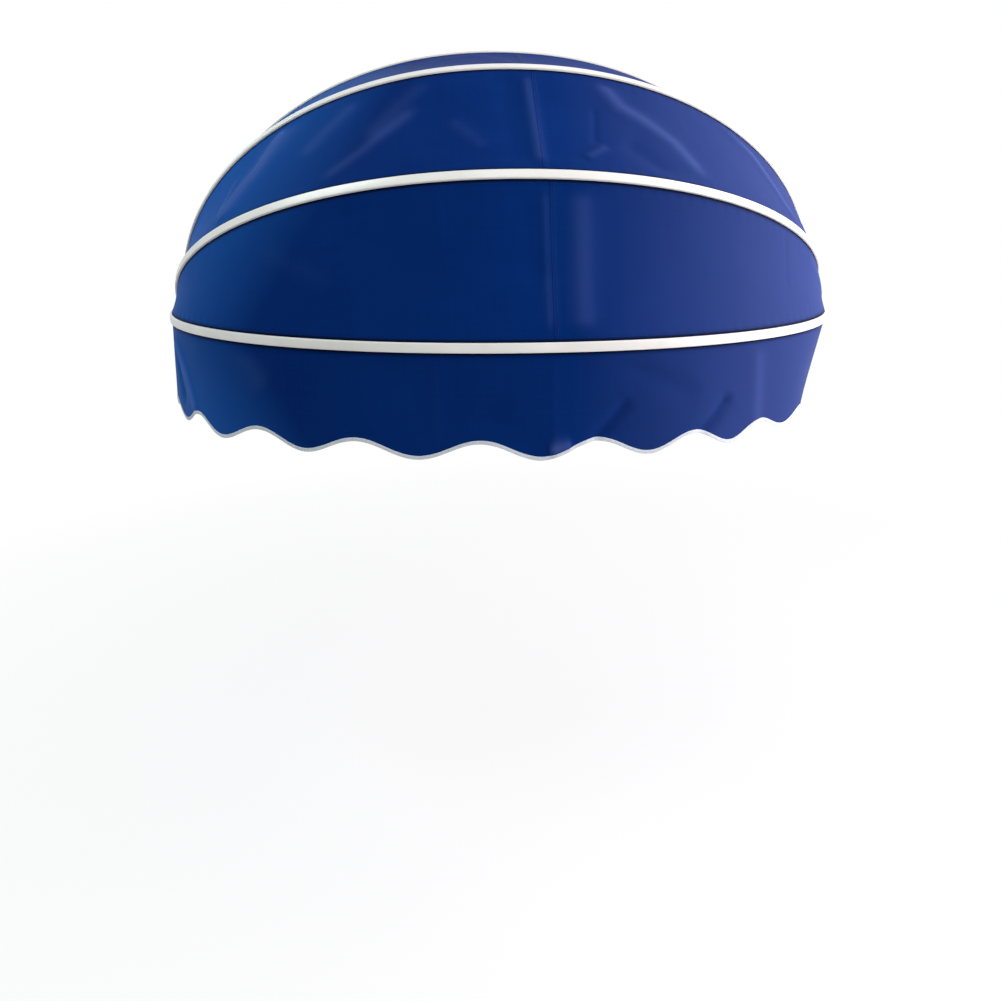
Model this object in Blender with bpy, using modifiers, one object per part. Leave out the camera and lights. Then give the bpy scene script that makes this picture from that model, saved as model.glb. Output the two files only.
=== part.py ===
# Retractable basket awning: four nested aluminium hoops turn on one pivot at each side,
# blue fabric gores run from hoop to hoop, and a scalloped valance hangs from the front hoop.
# Metres, +Z up. The wall is the plane y = 0, and the awning stands out towards -Y.

import math

import bmesh
import bpy
from mathutils import Matrix, Vector

# Overall sizes: outer faces of the front hoop, and how far the pivots stand off the wall
FRONT_HALF_WIDTH = 1.000
FRONT_REACH = 0.810
PIVOT_STANDOFF = 0.030

# A hoop is a little squarer than an ellipse, which would be 2
HOOP_SQUARENESS = 2.085

# Hoop names from the wall forwards, and the rise of each hoop plane above level, in degrees
HOOP_NAMES = ["wall_hoop", "upper_hoop", "lower_hoop", "front_hoop"]
WALL_ANGLE = 90.0
NEST_CLEARANCE = 0.003
SEGMENTS = 27

# Hoop profile: a domed cap, a keder groove along each edge and a hollow core
PROFILE_WIDTH = 0.022
PROFILE_DEPTH = 0.012
CAP_RISE = 0.0012
CAP_SHOULDER = 0.0012
CAP_WALL = 0.0018
LIP_DEPTH = 0.0032
LIP_WIDTH = 0.0016
SLOT_GAP = 0.0020
GROOVE_BORE = 0.0046
GROOVE_FLAT = 0.0012
LOWER_LIP_INSET = 0.0003
FOOT_WIDTH = 0.0104
CORE_WIDTH = 0.0068
FLOOR_WALL = 0.0015
PROFILE_START = 0.045
CORE_OVERRUN = 0.010
HOLE_OVERRUN = 0.0009

# Fabric
CLOTH_THICKNESS = 0.0009
BEAD_DIAMETER = 0.0034
CLOTH_EXIT = 0.0015
CANOPY_SAG = 0.006
SAG_SPAN = 0.200
CANOPY_ROWS = 2
CLOTH_END_GAP = 0.004

# Valance: mean drop below the front hoop's plane, scallops and their sideways drift, and how the cloth hangs
VALANCE_DROP = 0.2505
SCALLOP_DEPTH = 0.020
SCALLOP_PITCH = 0.270
HEM_DRIFT = 0.035
HEM_DRIFT_LENGTH = 1.900
HEM_DRIFT_START = -0.287
VALANCE_STEPS = 3
WAVE_DEPTH = 0.005
WAVE_LENGTH = 0.430
SIDE_LEAN = 0.065
LEAN_START = 0.66
BINDING_HEIGHT = 0.010
BINDING_CLOTH = 0.0005

# Running and seating clearances
SEAT_GAP = 0.0003
BORE_GAP = 0.0003

# End fittings, pivots and rivets
EYE_RADIUS = 0.011
EYE_THICKNESS = 0.006
ARM_WIDTH = 0.016
ARM_START = 0.008
TENON_LENGTH = 0.030
TENON_OVERLAP = 0.0020
PIN_RADIUS = 0.004
PIN_HEAD_RADIUS = 0.007
PIN_HEAD_HEIGHT = 0.004
SPACER_RADIUS = 0.007
WASHER_THICKNESS = 0.0016
NUT_RADIUS = 0.0078
NUT_HEIGHT = 0.0065
NUT_DOME = 0.0035
NUT_SHOULDER_SHARE = 0.6
NUT_SIDES = 6
THREAD_RUN = 0.0050
RIVET_RADIUS = 0.0016
RIVET_HEAD_RADIUS = 0.0030
RIVET_HEAD_HEIGHT = 0.0010
RIVET_GRIP = 0.0040
RIVET_TAIL = 0.0008
ROUND_STEPS = 12
RIVET_STEPS = 8
BORE_STEPS = 12
EYE_STEPS = 16

# Hinge brackets on the wall
PLATE_THICKNESS = 0.004
PLATE_WIDTH = 0.045
PLATE_HALF_HEIGHT = 0.045
CHEEK_RADIUS = 0.014
CHEEK_HALF_HEIGHT = 0.034
CHEEK_ARC_STEPS = 8
SCREW_HOLE_RADIUS = 0.0035
SCREW_HOLE_RISE = 0.032

# Wall clips under the wall hoop
CLIP_THICKNESS = 0.003
CLIP_WIDTH = 0.022
CLIP_REACH = 0.008
CLIP_FOOT = 0.034
CLIP_SCREW_DROP = 0.021
CLIP_STATIONS = {"wall_clip_left": 6.5, "wall_clip_right": 20.5}

# Crown bracket, which carries the pull-cord pulley
CROWN_FOOT = 0.078
EAR_LENGTH = 0.034
EAR_WIDTH = 0.016
EAR_THICKNESS = 0.0025
SHEAVE_DROP = 0.054
SHEAVE_RADIUS = 0.012
SHEAVE_WIDTH = 0.009
SHEAVE_GROOVE = 0.004
SHEAVE_FLOOR = 0.0022
AXLE_RADIUS = 0.0025
AXLE_HEAD_RADIUS = 0.0045
AXLE_HEAD_HEIGHT = 0.0016
SHEAVE_STEPS = 16

# Screw eyes that guide the cord
EYE_RING_RADIUS = 0.0065
EYE_WIRE_RADIUS = 0.0015
EYE_COLLAR_RADIUS = 0.0034
EYE_COLLAR_HEIGHT = 0.0016
EYE_SHANK_DEPTH = 0.0030
EYE_RING_STEPS = 12
EYE_WIRE_STEPS = 5

# Mesh limits: points nearer than this are one, and edges sharper than this stay sharp, in degrees
MERGE_DISTANCE = 0.00001
SHARP_ANGLE = 35

FABRIC_BLUE = (0.010, 0.048, 0.215, 1.0)
BINDING_WHITE = (0.62, 0.65, 0.68, 1.0)
PROFILE_WHITE = (0.76, 0.75, 0.70, 1.0)
FITTING_WHITE = (0.66, 0.66, 0.63, 1.0)
ZINC_GREY = (0.48, 0.49, 0.50, 1.0)
NYLON_GREY = (0.20, 0.20, 0.21, 1.0)

HOOP_STEP = PROFILE_DEPTH + NEST_CLEARANCE
FRONT_RANK = len(HOOP_NAMES) - 1
CROWN_STATION = SEGMENTS / 2
PIVOT = Vector((0.0, -PIVOT_STANDOFF, 0.0))
CLIP_TOP = PROFILE_DEPTH + SEAT_GAP

for leftover in list(bpy.data.objects):
    bpy.data.objects.remove(leftover, do_unlink=True)

awning = bpy.data.collections.new("retractable_awning")
cutters = bpy.data.collections.new("cutters")
bpy.context.scene.collection.children.link(awning)
bpy.context.scene.collection.children.link(cutters)


def make_material(name, colour, roughness, metallic):
    material = bpy.data.materials.new(name)
    material.use_nodes = True
    shader = material.node_tree.nodes["Principled BSDF"]
    shader.inputs["Base Color"].default_value = colour
    shader.inputs["Roughness"].default_value = roughness
    shader.inputs["Metallic"].default_value = metallic
    return material


FINISHES = {
    "canopy_cloth": (FABRIC_BLUE, 0.55, 0.0),
    "binding_tape": (BINDING_WHITE, 0.60, 0.0),
    "white_profile": (PROFILE_WHITE, 0.35, 0.0),
    "white_fitting": (FITTING_WHITE, 0.45, 0.0),
    "zinc_steel": (ZINC_GREY, 0.38, 0.9),
    "grey_nylon": (NYLON_GREY, 0.50, 0.0),
}


# Mesh and object helpers

def mesh_from(bm, name):
    bmesh.ops.remove_doubles(bm, verts=bm.verts, dist=MERGE_DISTANCE)
    bmesh.ops.recalc_face_normals(bm, faces=bm.faces)
    mesh = bpy.data.meshes.new(name)
    bm.to_mesh(mesh)
    bm.free()
    return mesh


def add_object(name, mesh, finish, parent):
    colour, roughness, metallic = FINISHES[finish]
    mesh.materials.clear()
    mesh.materials.append(make_material(name, colour, roughness, metallic))
    mesh.shade_smooth()
    mesh.set_sharp_from_angle(angle=math.radians(SHARP_ANGLE))
    piece = bpy.data.objects.new(name, mesh)
    awning.objects.link(piece)
    piece.parent = parent
    return piece


def add_cutter(name, mesh, parent):
    tool = bpy.data.objects.new(name, mesh)
    cutters.objects.link(tool)
    tool.parent = parent
    tool.hide_render = True
    tool.display_type = "WIRE"
    return tool


def add_boolean(piece, tool, operation):
    modifier = piece.modifiers.new(operation.lower() + "_" + tool.name, "BOOLEAN")
    modifier.operation = operation
    modifier.object = tool
    modifier.solver = "EXACT"


def cut(piece, mesh):
    add_boolean(piece, add_cutter(piece.name + "_cut", mesh, piece.parent), "DIFFERENCE")


def join(piece, mesh):
    add_boolean(piece, add_cutter(piece.name + "_joined", mesh, piece.parent), "UNION")


def axes_matrix(centre, x_axis, y_axis, z_axis):
    matrix = Matrix.Identity(4)
    for column, axis in enumerate((x_axis, y_axis, z_axis, centre)):
        for row in range(3):
            matrix[row][column] = axis[row]
    return matrix


def box(centre, x_axis, y_axis, z_axis):
    bm = bmesh.new()
    bmesh.ops.create_cube(bm, size=1.0, matrix=axes_matrix(centre, x_axis, y_axis, z_axis))
    return mesh_from(bm, "box")


def rod(start, end, radius, steps=ROUND_STEPS):
    along = end - start
    turn = along.to_track_quat("Z", "Y").to_matrix().to_4x4()
    place = Matrix.Translation((start + end) / 2) @ turn
    bm = bmesh.new()
    bmesh.ops.create_cone(bm, cap_ends=True, segments=steps, radius1=radius, radius2=radius,
                          depth=along.length, matrix=place)
    return mesh_from(bm, "rod")


def turned(name, profile, closed, steps, finish, parent):
    edges = [(k, k + 1) for k in range(len(profile) - 1)]
    if closed:
        edges.append((len(profile) - 1, 0))
    mesh = bpy.data.meshes.new(name)
    mesh.from_pydata([(radius, 0.0, height) for radius, height in profile], edges, [])
    piece = add_object(name, mesh, finish, parent)
    screw = piece.modifiers.new("turn", "SCREW")
    screw.steps = steps
    screw.render_steps = steps
    screw.use_merge_vertices = True
    screw.merge_threshold = MERGE_DISTANCE
    return piece


def outline_curve(name, points, closed, dimensions):
    curve = bpy.data.curves.new(name, "CURVE")
    curve.dimensions = dimensions
    spline = curve.splines.new("POLY")
    spline.points.add(len(points) - 1)
    for spline_point, point in zip(spline.points, points):
        spline_point.co = (point[0], point[1], point[2] if len(point) > 2 else 0.0, 1.0)
    spline.use_cyclic_u = closed
    holder = bpy.data.objects.new(name, curve)
    cutters.objects.link(holder)
    return holder


def mesh_of_curve(holder):
    graph = bpy.context.evaluated_depsgraph_get()
    mesh = bpy.data.meshes.new_from_object(holder.evaluated_get(graph))
    bpy.data.objects.remove(holder, do_unlink=True)
    bm = bmesh.new()
    bm.from_mesh(mesh)
    bpy.data.meshes.remove(mesh)
    return bm


def plate(outline, thickness, matrix):
    holder = outline_curve("plate", outline, True, "2D")
    holder.data.fill_mode = "BOTH"
    holder.data.extrude = thickness / 2
    bm = mesh_of_curve(holder)
    bmesh.ops.transform(bm, matrix=matrix, verts=bm.verts)
    return mesh_from(bm, "plate")


def swept(path, section):
    rail = outline_curve("rail", path, False, "3D")
    shape = outline_curve("shape", [(-depth, across) for depth, across in section], True, "2D")
    rail.data.bevel_mode = "OBJECT"
    rail.data.bevel_object = shape
    rail.data.use_fill_caps = True
    rail.data.twist_mode = "Z_UP"
    bm = mesh_of_curve(rail)
    bpy.data.objects.remove(shape, do_unlink=True)
    return mesh_from(bm, "swept")


# A sheet with two skins, given as rows of points that face each other, closed on all edges
def sheet(outer_rows, inner_rows):
    bm = bmesh.new()
    outer = [[bm.verts.new(point) for point in row] for row in outer_rows]
    inner = [[bm.verts.new(point) for point in row] for row in inner_rows]
    last_row = len(outer) - 1
    last = len(outer[0]) - 1
    for row in range(last_row):
        for k in range(last):
            bm.faces.new((outer[row][k], outer[row][k + 1], outer[row + 1][k + 1], outer[row + 1][k]))
            bm.faces.new((inner[row][k], inner[row + 1][k], inner[row + 1][k + 1], inner[row][k + 1]))
        for k in (0, last):
            bm.faces.new((outer[row][k], outer[row + 1][k], inner[row + 1][k], inner[row][k]))
    for row in (0, last_row):
        for k in range(last):
            bm.faces.new((outer[row][k], outer[row][k + 1], inner[row][k + 1], inner[row][k]))
    return mesh_from(bm, "sheet")


# Hoop geometry, in the hoop's own plane: pivots on the X axis, crown towards -Y.
# Depth is measured inwards from the outer face, and across is along +Z, towards the wall.

def half_width(rank):
    return FRONT_HALF_WIDTH - (FRONT_RANK - rank) * HOOP_STEP


def reach(rank):
    return FRONT_REACH - (FRONT_RANK - rank) * HOOP_STEP


def hoop_angle(rank):
    return math.radians(WALL_ANGLE * (FRONT_RANK - rank) / FRONT_RANK)


def squared(value):
    return math.copysign(abs(value) ** (2 / HOOP_SQUARENESS), value)


def hoop_point(rank, step):
    angle = math.pi * step / SEGMENTS
    across = -half_width(rank) * squared(math.cos(angle))
    if step in (0, SEGMENTS):
        return Vector((across, 0.0, 0.0))
    return Vector((across, -reach(rank) * squared(math.sin(angle)), 0.0))


def hoop_path(rank):
    path = [hoop_point(rank, step) for step in range(SEGMENTS + 1)]
    start = path[0] + (path[1] - path[0]).normalized() * PROFILE_START
    end = path[-1] + (path[-2] - path[-1]).normalized() * PROFILE_START
    return [start] + path[1:-1] + [end]


def inward_of(along):
    return Vector((-along.y, along.x, 0.0))


def ring_inwards(path):
    legs = [(path[k + 1] - path[k]).normalized() for k in range(len(path) - 1)]
    bisectors = [(before + after).normalized() for before, after in zip(legs, legs[1:])]
    return [inward_of(along) for along in [legs[0]] + bisectors + [legs[-1]]]


def section_point(rank, station, depth, across):
    path = hoop_path(rank)
    inwards = ring_inwards(path)
    first = min(int(station), SEGMENTS - 1)
    here = path[first] + inwards[first] * depth
    there = path[first + 1] + inwards[first + 1] * depth
    return here.lerp(there, station - first) + Vector((0.0, 0.0, across))


def station_inward(rank, station):
    path = hoop_path(rank)
    first = min(int(station), SEGMENTS - 1)
    return inward_of((path[first + 1] - path[first]).normalized())


def turned_to(rank, point):
    return Matrix.Rotation(-hoop_angle(rank), 3, "X") @ point


def profile_outline():
    half = PROFILE_WIDTH / 2
    slot_end = LIP_DEPTH + SLOT_GAP
    bead_depth = LIP_DEPTH + SLOT_GAP / 2
    groove_top = bead_depth - GROOVE_BORE / 2
    groove_floor = bead_depth + GROOVE_BORE / 2
    groove_edge = half - LIP_WIDTH
    groove_back = groove_edge - GROOVE_BORE
    right = [
        (CAP_RISE, half - CAP_SHOULDER),
        (LIP_DEPTH, half),
        (LIP_DEPTH, groove_edge),
        (groove_top, groove_edge - GROOVE_FLAT),
        (groove_top + GROOVE_FLAT / 2, groove_back),
        (groove_floor - GROOVE_FLAT / 2, groove_back),
        (groove_floor, groove_edge - GROOVE_FLAT),
        (slot_end, groove_edge),
        (slot_end, half - LOWER_LIP_INSET),
        (groove_floor + FLOOR_WALL, half - LOWER_LIP_INSET - CAP_SHOULDER),
        (PROFILE_DEPTH, FOOT_WIDTH / 2),
    ]
    left = [(depth, -across) for depth, across in reversed(right)]
    return [(0.0, 0.0)] + right + left


def core_outline(clearance):
    near = CAP_WALL + CAP_RISE + clearance
    far = PROFILE_DEPTH - FLOOR_WALL - clearance
    half = CORE_WIDTH / 2 - clearance
    return [(near, -half), (near, half), (far, half), (far, -half)]


# Rivet holes and screw-eye holes go through the profile's floor into its core

def floor_hole(rank, station, radius):
    inward = station_inward(rank, station)
    surface = section_point(rank, station, PROFILE_DEPTH, 0.0)
    start = surface - inward * (FLOOR_WALL + HOLE_OVERRUN)
    return rod(start, surface + inward * HOLE_OVERRUN, radius, RIVET_STEPS)


def end_frame(rank, side):
    corner = hoop_point(rank, SEGMENTS)
    along = (hoop_point(rank, SEGMENTS - 1) - corner).normalized()
    inward = -inward_of(along)
    mirror = Vector((side, 1.0, 1.0))
    return corner * mirror, along * mirror, inward * mirror


def rivet_distance():
    return PROFILE_START + TENON_LENGTH / 2


def end_hole_line(rank, side):
    corner, along, inward = end_frame(rank, side)
    return corner + along * rivet_distance(), inward


def build_hoop(rank, parent):
    path = hoop_path(rank)
    hoop = add_object(HOOP_NAMES[rank], swept(path, profile_outline()), "white_profile", parent)
    run_out = [path[0] + (path[0] - path[1]).normalized() * CORE_OVERRUN] + path[1:-1]
    run_out.append(path[-1] + (path[-1] - path[-2]).normalized() * CORE_OVERRUN)
    cut(hoop, swept(run_out, core_outline(0.0)))
    for side in (-1, 1):
        centre, inward = end_hole_line(rank, side)
        start = centre + inward * (PROFILE_DEPTH - FLOOR_WALL - HOLE_OVERRUN)
        end = centre + inward * (PROFILE_DEPTH + HOLE_OVERRUN)
        cut(hoop, rod(start, end, RIVET_RADIUS + BORE_GAP, RIVET_STEPS))
    if rank == 0:
        stations = [CROWN_STATION] + list(CLIP_STATIONS.values())
    else:
        stations = [CROWN_STATION]
    for station in stations:
        cut(hoop, floor_hole(rank, station, RIVET_RADIUS + BORE_GAP))
    return hoop


def eye_centre(rank):
    return half_width(rank) - PROFILE_DEPTH / 2


# An end fitting is an eye on the pivot, an arm and a tenon that fills the end of the profile
def build_end_fitting(rank, side, label, parent):
    name = HOOP_NAMES[rank].replace("hoop", "hinge") + "_" + label
    corner, along, inward = end_frame(rank, side)
    up = Vector((0.0, 0.0, 1.0))
    eye_half = Vector((EYE_THICKNESS / 2, 0.0, 0.0))
    centre = Vector((side * eye_centre(rank), 0.0, 0.0))
    fitting = add_object(name, rod(centre - eye_half, centre + eye_half, EYE_RADIUS, EYE_STEPS),
                         "white_fitting", parent)
    arm_end = PROFILE_START - SEAT_GAP
    arm_middle = corner + along * (ARM_START + arm_end) / 2 + inward * PROFILE_DEPTH / 2
    join(fitting, box(arm_middle, inward * EYE_THICKNESS, along * (arm_end - ARM_START), up * ARM_WIDTH))
    near, half = core_outline(SEAT_GAP)[1]
    far = core_outline(SEAT_GAP)[2][0]
    tenon_start = arm_end - TENON_OVERLAP
    tenon_end = PROFILE_START + TENON_LENGTH
    tenon_middle = corner + along * (tenon_start + tenon_end) / 2 + inward * (near + far) / 2
    join(fitting, box(tenon_middle, inward * (far - near), along * (tenon_end - tenon_start), up * half * 2))
    cut(fitting, rod(centre - eye_half * 2, centre + eye_half * 2, PIN_RADIUS + BORE_GAP, BORE_STEPS))
    hole_centre, hole_inward = end_hole_line(rank, side)
    hole_end = hole_centre + hole_inward * (far + FLOOR_WALL)
    hole_start = hole_end - hole_inward * (RIVET_GRIP + FLOOR_WALL)
    cut(fitting, rod(hole_start, hole_end, RIVET_RADIUS + BORE_GAP, RIVET_STEPS))
    return fitting


def add_rivet(name, seat, inward, grip, parent):
    head_face = seat + inward * SEAT_GAP
    head_end = head_face + inward * RIVET_HEAD_HEIGHT
    head = rod(head_face, head_end, RIVET_HEAD_RADIUS, RIVET_STEPS)
    rivet = add_object(name, head, "zinc_steel", parent)
    shank_end = head_face + inward * RIVET_HEAD_HEIGHT / 2
    join(rivet, rod(head_face - inward * grip, shank_end, RIVET_RADIUS, RIVET_STEPS))


# A screw eye hangs inside the crown of a moving hoop, with its shank in the profile's floor
def build_cord_eye(rank, parent):
    name = HOOP_NAMES[rank].replace("hoop", "cord_eye")
    seat = section_point(rank, CROWN_STATION, PROFILE_DEPTH + SEAT_GAP, 0.0)
    inward = station_inward(rank, CROWN_STATION)
    collar_end = seat + inward * EYE_COLLAR_HEIGHT
    eye = add_object(name, rod(seat, collar_end, EYE_COLLAR_RADIUS), "zinc_steel", parent)
    ring_middle = collar_end + inward * (EYE_RING_RADIUS + EYE_WIRE_RADIUS / 2)
    bpy.ops.mesh.primitive_torus_add(major_segments=EYE_RING_STEPS, minor_segments=EYE_WIRE_STEPS,
                                     major_radius=EYE_RING_RADIUS, minor_radius=EYE_WIRE_RADIUS)
    ring = bpy.context.active_object
    ring_mesh = ring.data
    bpy.data.objects.remove(ring, do_unlink=True)
    ring_mesh.transform(Matrix.Translation(ring_middle))
    join(eye, ring_mesh)
    shank_start = seat - inward * (SEAT_GAP + EYE_SHANK_DEPTH)
    join(eye, rod(shank_start, collar_end + inward * EYE_WIRE_RADIUS, RIVET_RADIUS))


# Fabric between two hoops: a bead in each keder groove, a flat exit, and a slight sag between

def bead_station(row):
    path = hoop_path(FRONT_RANK)
    first_leg = (path[1] - path[0]).length
    if row == 0:
        return CLOTH_END_GAP / first_leg
    if row == SEGMENTS:
        return SEGMENTS - CLOTH_END_GAP / first_leg
    return float(row)


def bead_section():
    half = PROFILE_WIDTH / 2
    bead_across = half - LIP_WIDTH - GROOVE_BORE / 2
    bead_radius = BEAD_DIAMETER / 2
    cloth_half = CLOTH_THICKNESS / 2
    return [
        (bead_across - bead_radius, bead_radius / 2),
        (bead_across, bead_radius),
        (bead_across + bead_radius, cloth_half),
    ]


def bead_rows(rank, station, toward_wall):
    sign = 1.0 if toward_wall else -1.0
    depth = LIP_DEPTH + SLOT_GAP / 2
    exit_across = PROFILE_WIDTH / 2 + CLOTH_EXIT
    outer = []
    inner = []
    for across, half in bead_section() + [(exit_across, CLOTH_THICKNESS / 2)]:
        outer.append(turned_to(rank, section_point(rank, station, depth - half, sign * across)))
        inner.append(turned_to(rank, section_point(rank, station, depth + half, sign * across)))
    return outer, inner


def build_canopy(name, rear, parent):
    front = rear + 1
    outer_rows = []
    inner_rows = []
    for row in range(SEGMENTS + 1):
        station = bead_station(row)
        rear_outer, rear_inner = bead_rows(rear, station, False)
        front_outer, front_inner = bead_rows(front, station, True)
        inward = (rear_inner[-1] - rear_outer[-1] + front_inner[-1] - front_outer[-1]).normalized()
        outer = list(rear_outer)
        inner = list(rear_inner)
        span = (front_outer[-1] - rear_outer[-1]).length
        for k in range(CANOPY_ROWS):
            share = (k + 1) / (CANOPY_ROWS + 1)
            sag = CANOPY_SAG * 4 * share * (1 - share) * min(1.0, span / SAG_SPAN)
            middle = rear_outer[-1].lerp(front_outer[-1], share)
            middle = middle.lerp(rear_inner[-1].lerp(front_inner[-1], share), 0.5) + inward * sag
            outer.append(middle - inward * CLOTH_THICKNESS / 2)
            inner.append(middle + inward * CLOTH_THICKNESS / 2)
        outer_rows.append(outer + front_outer[::-1])
        inner_rows.append(inner + front_inner[::-1])
    return add_object(name, sheet(outer_rows, inner_rows), "canopy_cloth", parent)


# Valance: hangs from the front hoop's lower groove to a scalloped hem

def front_arc_lengths():
    path = hoop_path(FRONT_RANK)
    lengths = [0.0]
    for k in range(SEGMENTS):
        lengths.append(lengths[-1] + (path[k + 1] - path[k]).length)
    return lengths


def valance_stations():
    stations = [bead_station(0)]
    for k in range(SEGMENTS * VALANCE_STEPS):
        station = k / VALANCE_STEPS
        if bead_station(0) < station < bead_station(SEGMENTS):
            stations.append(station)
    return stations + [bead_station(SEGMENTS)]


def arc_at(station):
    lengths = front_arc_lengths()
    first = min(int(station), SEGMENTS - 1)
    return lengths[first] + (lengths[first + 1] - lengths[first]) * (station - first)


def hem_drop(arc, total):
    along = arc - total / 2
    drift = HEM_DRIFT * math.sin(2 * math.pi * (along - HEM_DRIFT_START) / HEM_DRIFT_LENGTH)
    return VALANCE_DROP + SCALLOP_DEPTH * math.cos(2 * math.pi * (along - drift) / SCALLOP_PITCH)


def smooth_share(value):
    value = max(0.0, min(1.0, value))
    return value * value * (3 - 2 * value)


# How far the cloth hangs inwards of the groove at a given drop: small waves, and the lean at one end
def hang_inward(arc, total, drop):
    fall = max(0.0, drop / VALANCE_DROP)
    wave = WAVE_DEPTH * fall * math.sin(2 * math.pi * arc / WAVE_LENGTH)
    lean = SIDE_LEAN * fall * smooth_share((arc / total - LEAN_START) / (1 - LEAN_START))
    return lean - wave


def valance_rows(station, drops, halves):
    total = front_arc_lengths()[-1]
    arc = arc_at(station)
    depth = LIP_DEPTH + SLOT_GAP / 2
    outer = []
    inner = []
    for drop, half in zip(drops, halves):
        hang = hang_inward(arc, total, drop - PROFILE_WIDTH / 2)
        outer.append(section_point(FRONT_RANK, station, depth + hang - half, -drop))
        inner.append(section_point(FRONT_RANK, station, depth + hang + half, -drop))
    return outer, inner


def build_valance(parent):
    total = front_arc_lengths()[-1]
    cloth_half = CLOTH_THICKNESS / 2
    outer_rows = []
    inner_rows = []
    for station in valance_stations():
        hem = hem_drop(arc_at(station), total)
        drops = [across for across, half in bead_section()] + [hem / 2, hem]
        halves = [half for across, half in bead_section()] + [cloth_half, cloth_half]
        outer, inner = valance_rows(station, drops, halves)
        outer_rows.append(outer)
        inner_rows.append(inner)
    return add_object("valance", sheet(outer_rows, inner_rows), "canopy_cloth", parent)


# Hem binding: a folded tape that wraps the valance's cut edge
def build_binding(parent):
    total = front_arc_lengths()[-1]
    pocket = CLOTH_THICKNESS / 2 + SEAT_GAP
    skin = pocket + BINDING_CLOTH
    outer_rows = []
    inner_rows = []
    for station in valance_stations():
        hem = hem_drop(arc_at(station), total)
        top = hem - BINDING_HEIGHT
        fold_outer, fold_inner = valance_rows(station, [top, hem + SEAT_GAP + BINDING_CLOTH], [skin, skin])
        lining_outer, lining_inner = valance_rows(station, [top, hem + SEAT_GAP], [pocket, pocket])
        outer_rows.append(fold_outer + fold_inner[::-1])
        inner_rows.append(lining_outer + lining_inner[::-1])
    return add_object("hem_binding", sheet(outer_rows, inner_rows), "binding_tape", parent)


# Pivot hardware: pin, washers, spacers and cap nut, stacked outwards from the bracket's cheek

def cheek_outer_face():
    return eye_centre(0) - EYE_THICKNESS / 2 - WASHER_THICKNESS - SEAT_GAP * 2


def stack_item(name, profile, closed, steps, finish, side, x_place):
    item = turned(name, profile, closed, steps, finish, root_axis)
    item.location = (side * x_place, 0.0, 0.0)
    item.rotation_euler = (0.0, side * math.pi / 2, 0.0)
    return item


def ring_profile(bore, radius, length):
    return [(bore, length), (radius, length), (radius, 0.0), (bore, 0.0)]


def build_pivot(side, label):
    bore = PIN_RADIUS + BORE_GAP
    cheek_outer = cheek_outer_face()
    cheek_inner = cheek_outer - PLATE_THICKNESS
    washer = ring_profile(bore, SPACER_RADIUS, WASHER_THICKNESS)
    stack_item("inner_washer_" + label, washer, True, ROUND_STEPS, "zinc_steel", side,
               cheek_outer + SEAT_GAP)
    for rank in range(FRONT_RANK):
        start = eye_centre(rank) + EYE_THICKNESS / 2 + SEAT_GAP
        length = HOOP_STEP - EYE_THICKNESS - SEAT_GAP * 2
        spacer = ring_profile(bore, SPACER_RADIUS, length)
        name = HOOP_NAMES[rank + 1].replace("hoop", "spacer") + "_" + label
        stack_item(name, spacer, True, ROUND_STEPS, "grey_nylon", side, start)
    outer_start = eye_centre(FRONT_RANK) + EYE_THICKNESS / 2 + SEAT_GAP
    stack_item("outer_washer_" + label, washer, True, ROUND_STEPS, "zinc_steel", side, outer_start)
    nut_start = outer_start + WASHER_THICKNESS + SEAT_GAP
    nut_bore = bore / math.cos(math.pi / NUT_SIDES)
    nut = [
        (0.0, NUT_HEIGHT + NUT_DOME),
        (NUT_RADIUS * NUT_SHOULDER_SHARE, NUT_HEIGHT + NUT_DOME * NUT_SHOULDER_SHARE),
        (NUT_RADIUS, NUT_HEIGHT),
        (NUT_RADIUS, 0.0),
        (nut_bore, 0.0),
        (nut_bore, THREAD_RUN + SEAT_GAP),
        (0.0, THREAD_RUN + SEAT_GAP),
    ]
    stack_item("cap_nut_" + label, nut, False, NUT_SIDES, "zinc_steel", side, nut_start)
    head_face = cheek_inner - SEAT_GAP
    shank = nut_start + THREAD_RUN - head_face
    pin = [
        (0.0, shank),
        (PIN_RADIUS, shank),
        (PIN_RADIUS, 0.0),
        (PIN_HEAD_RADIUS, 0.0),
        (PIN_HEAD_RADIUS, -PIN_HEAD_HEIGHT),
        (0.0, -PIN_HEAD_HEIGHT),
    ]
    stack_item("pivot_pin_" + label, pin, False, ROUND_STEPS, "zinc_steel", side, head_face)


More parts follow.
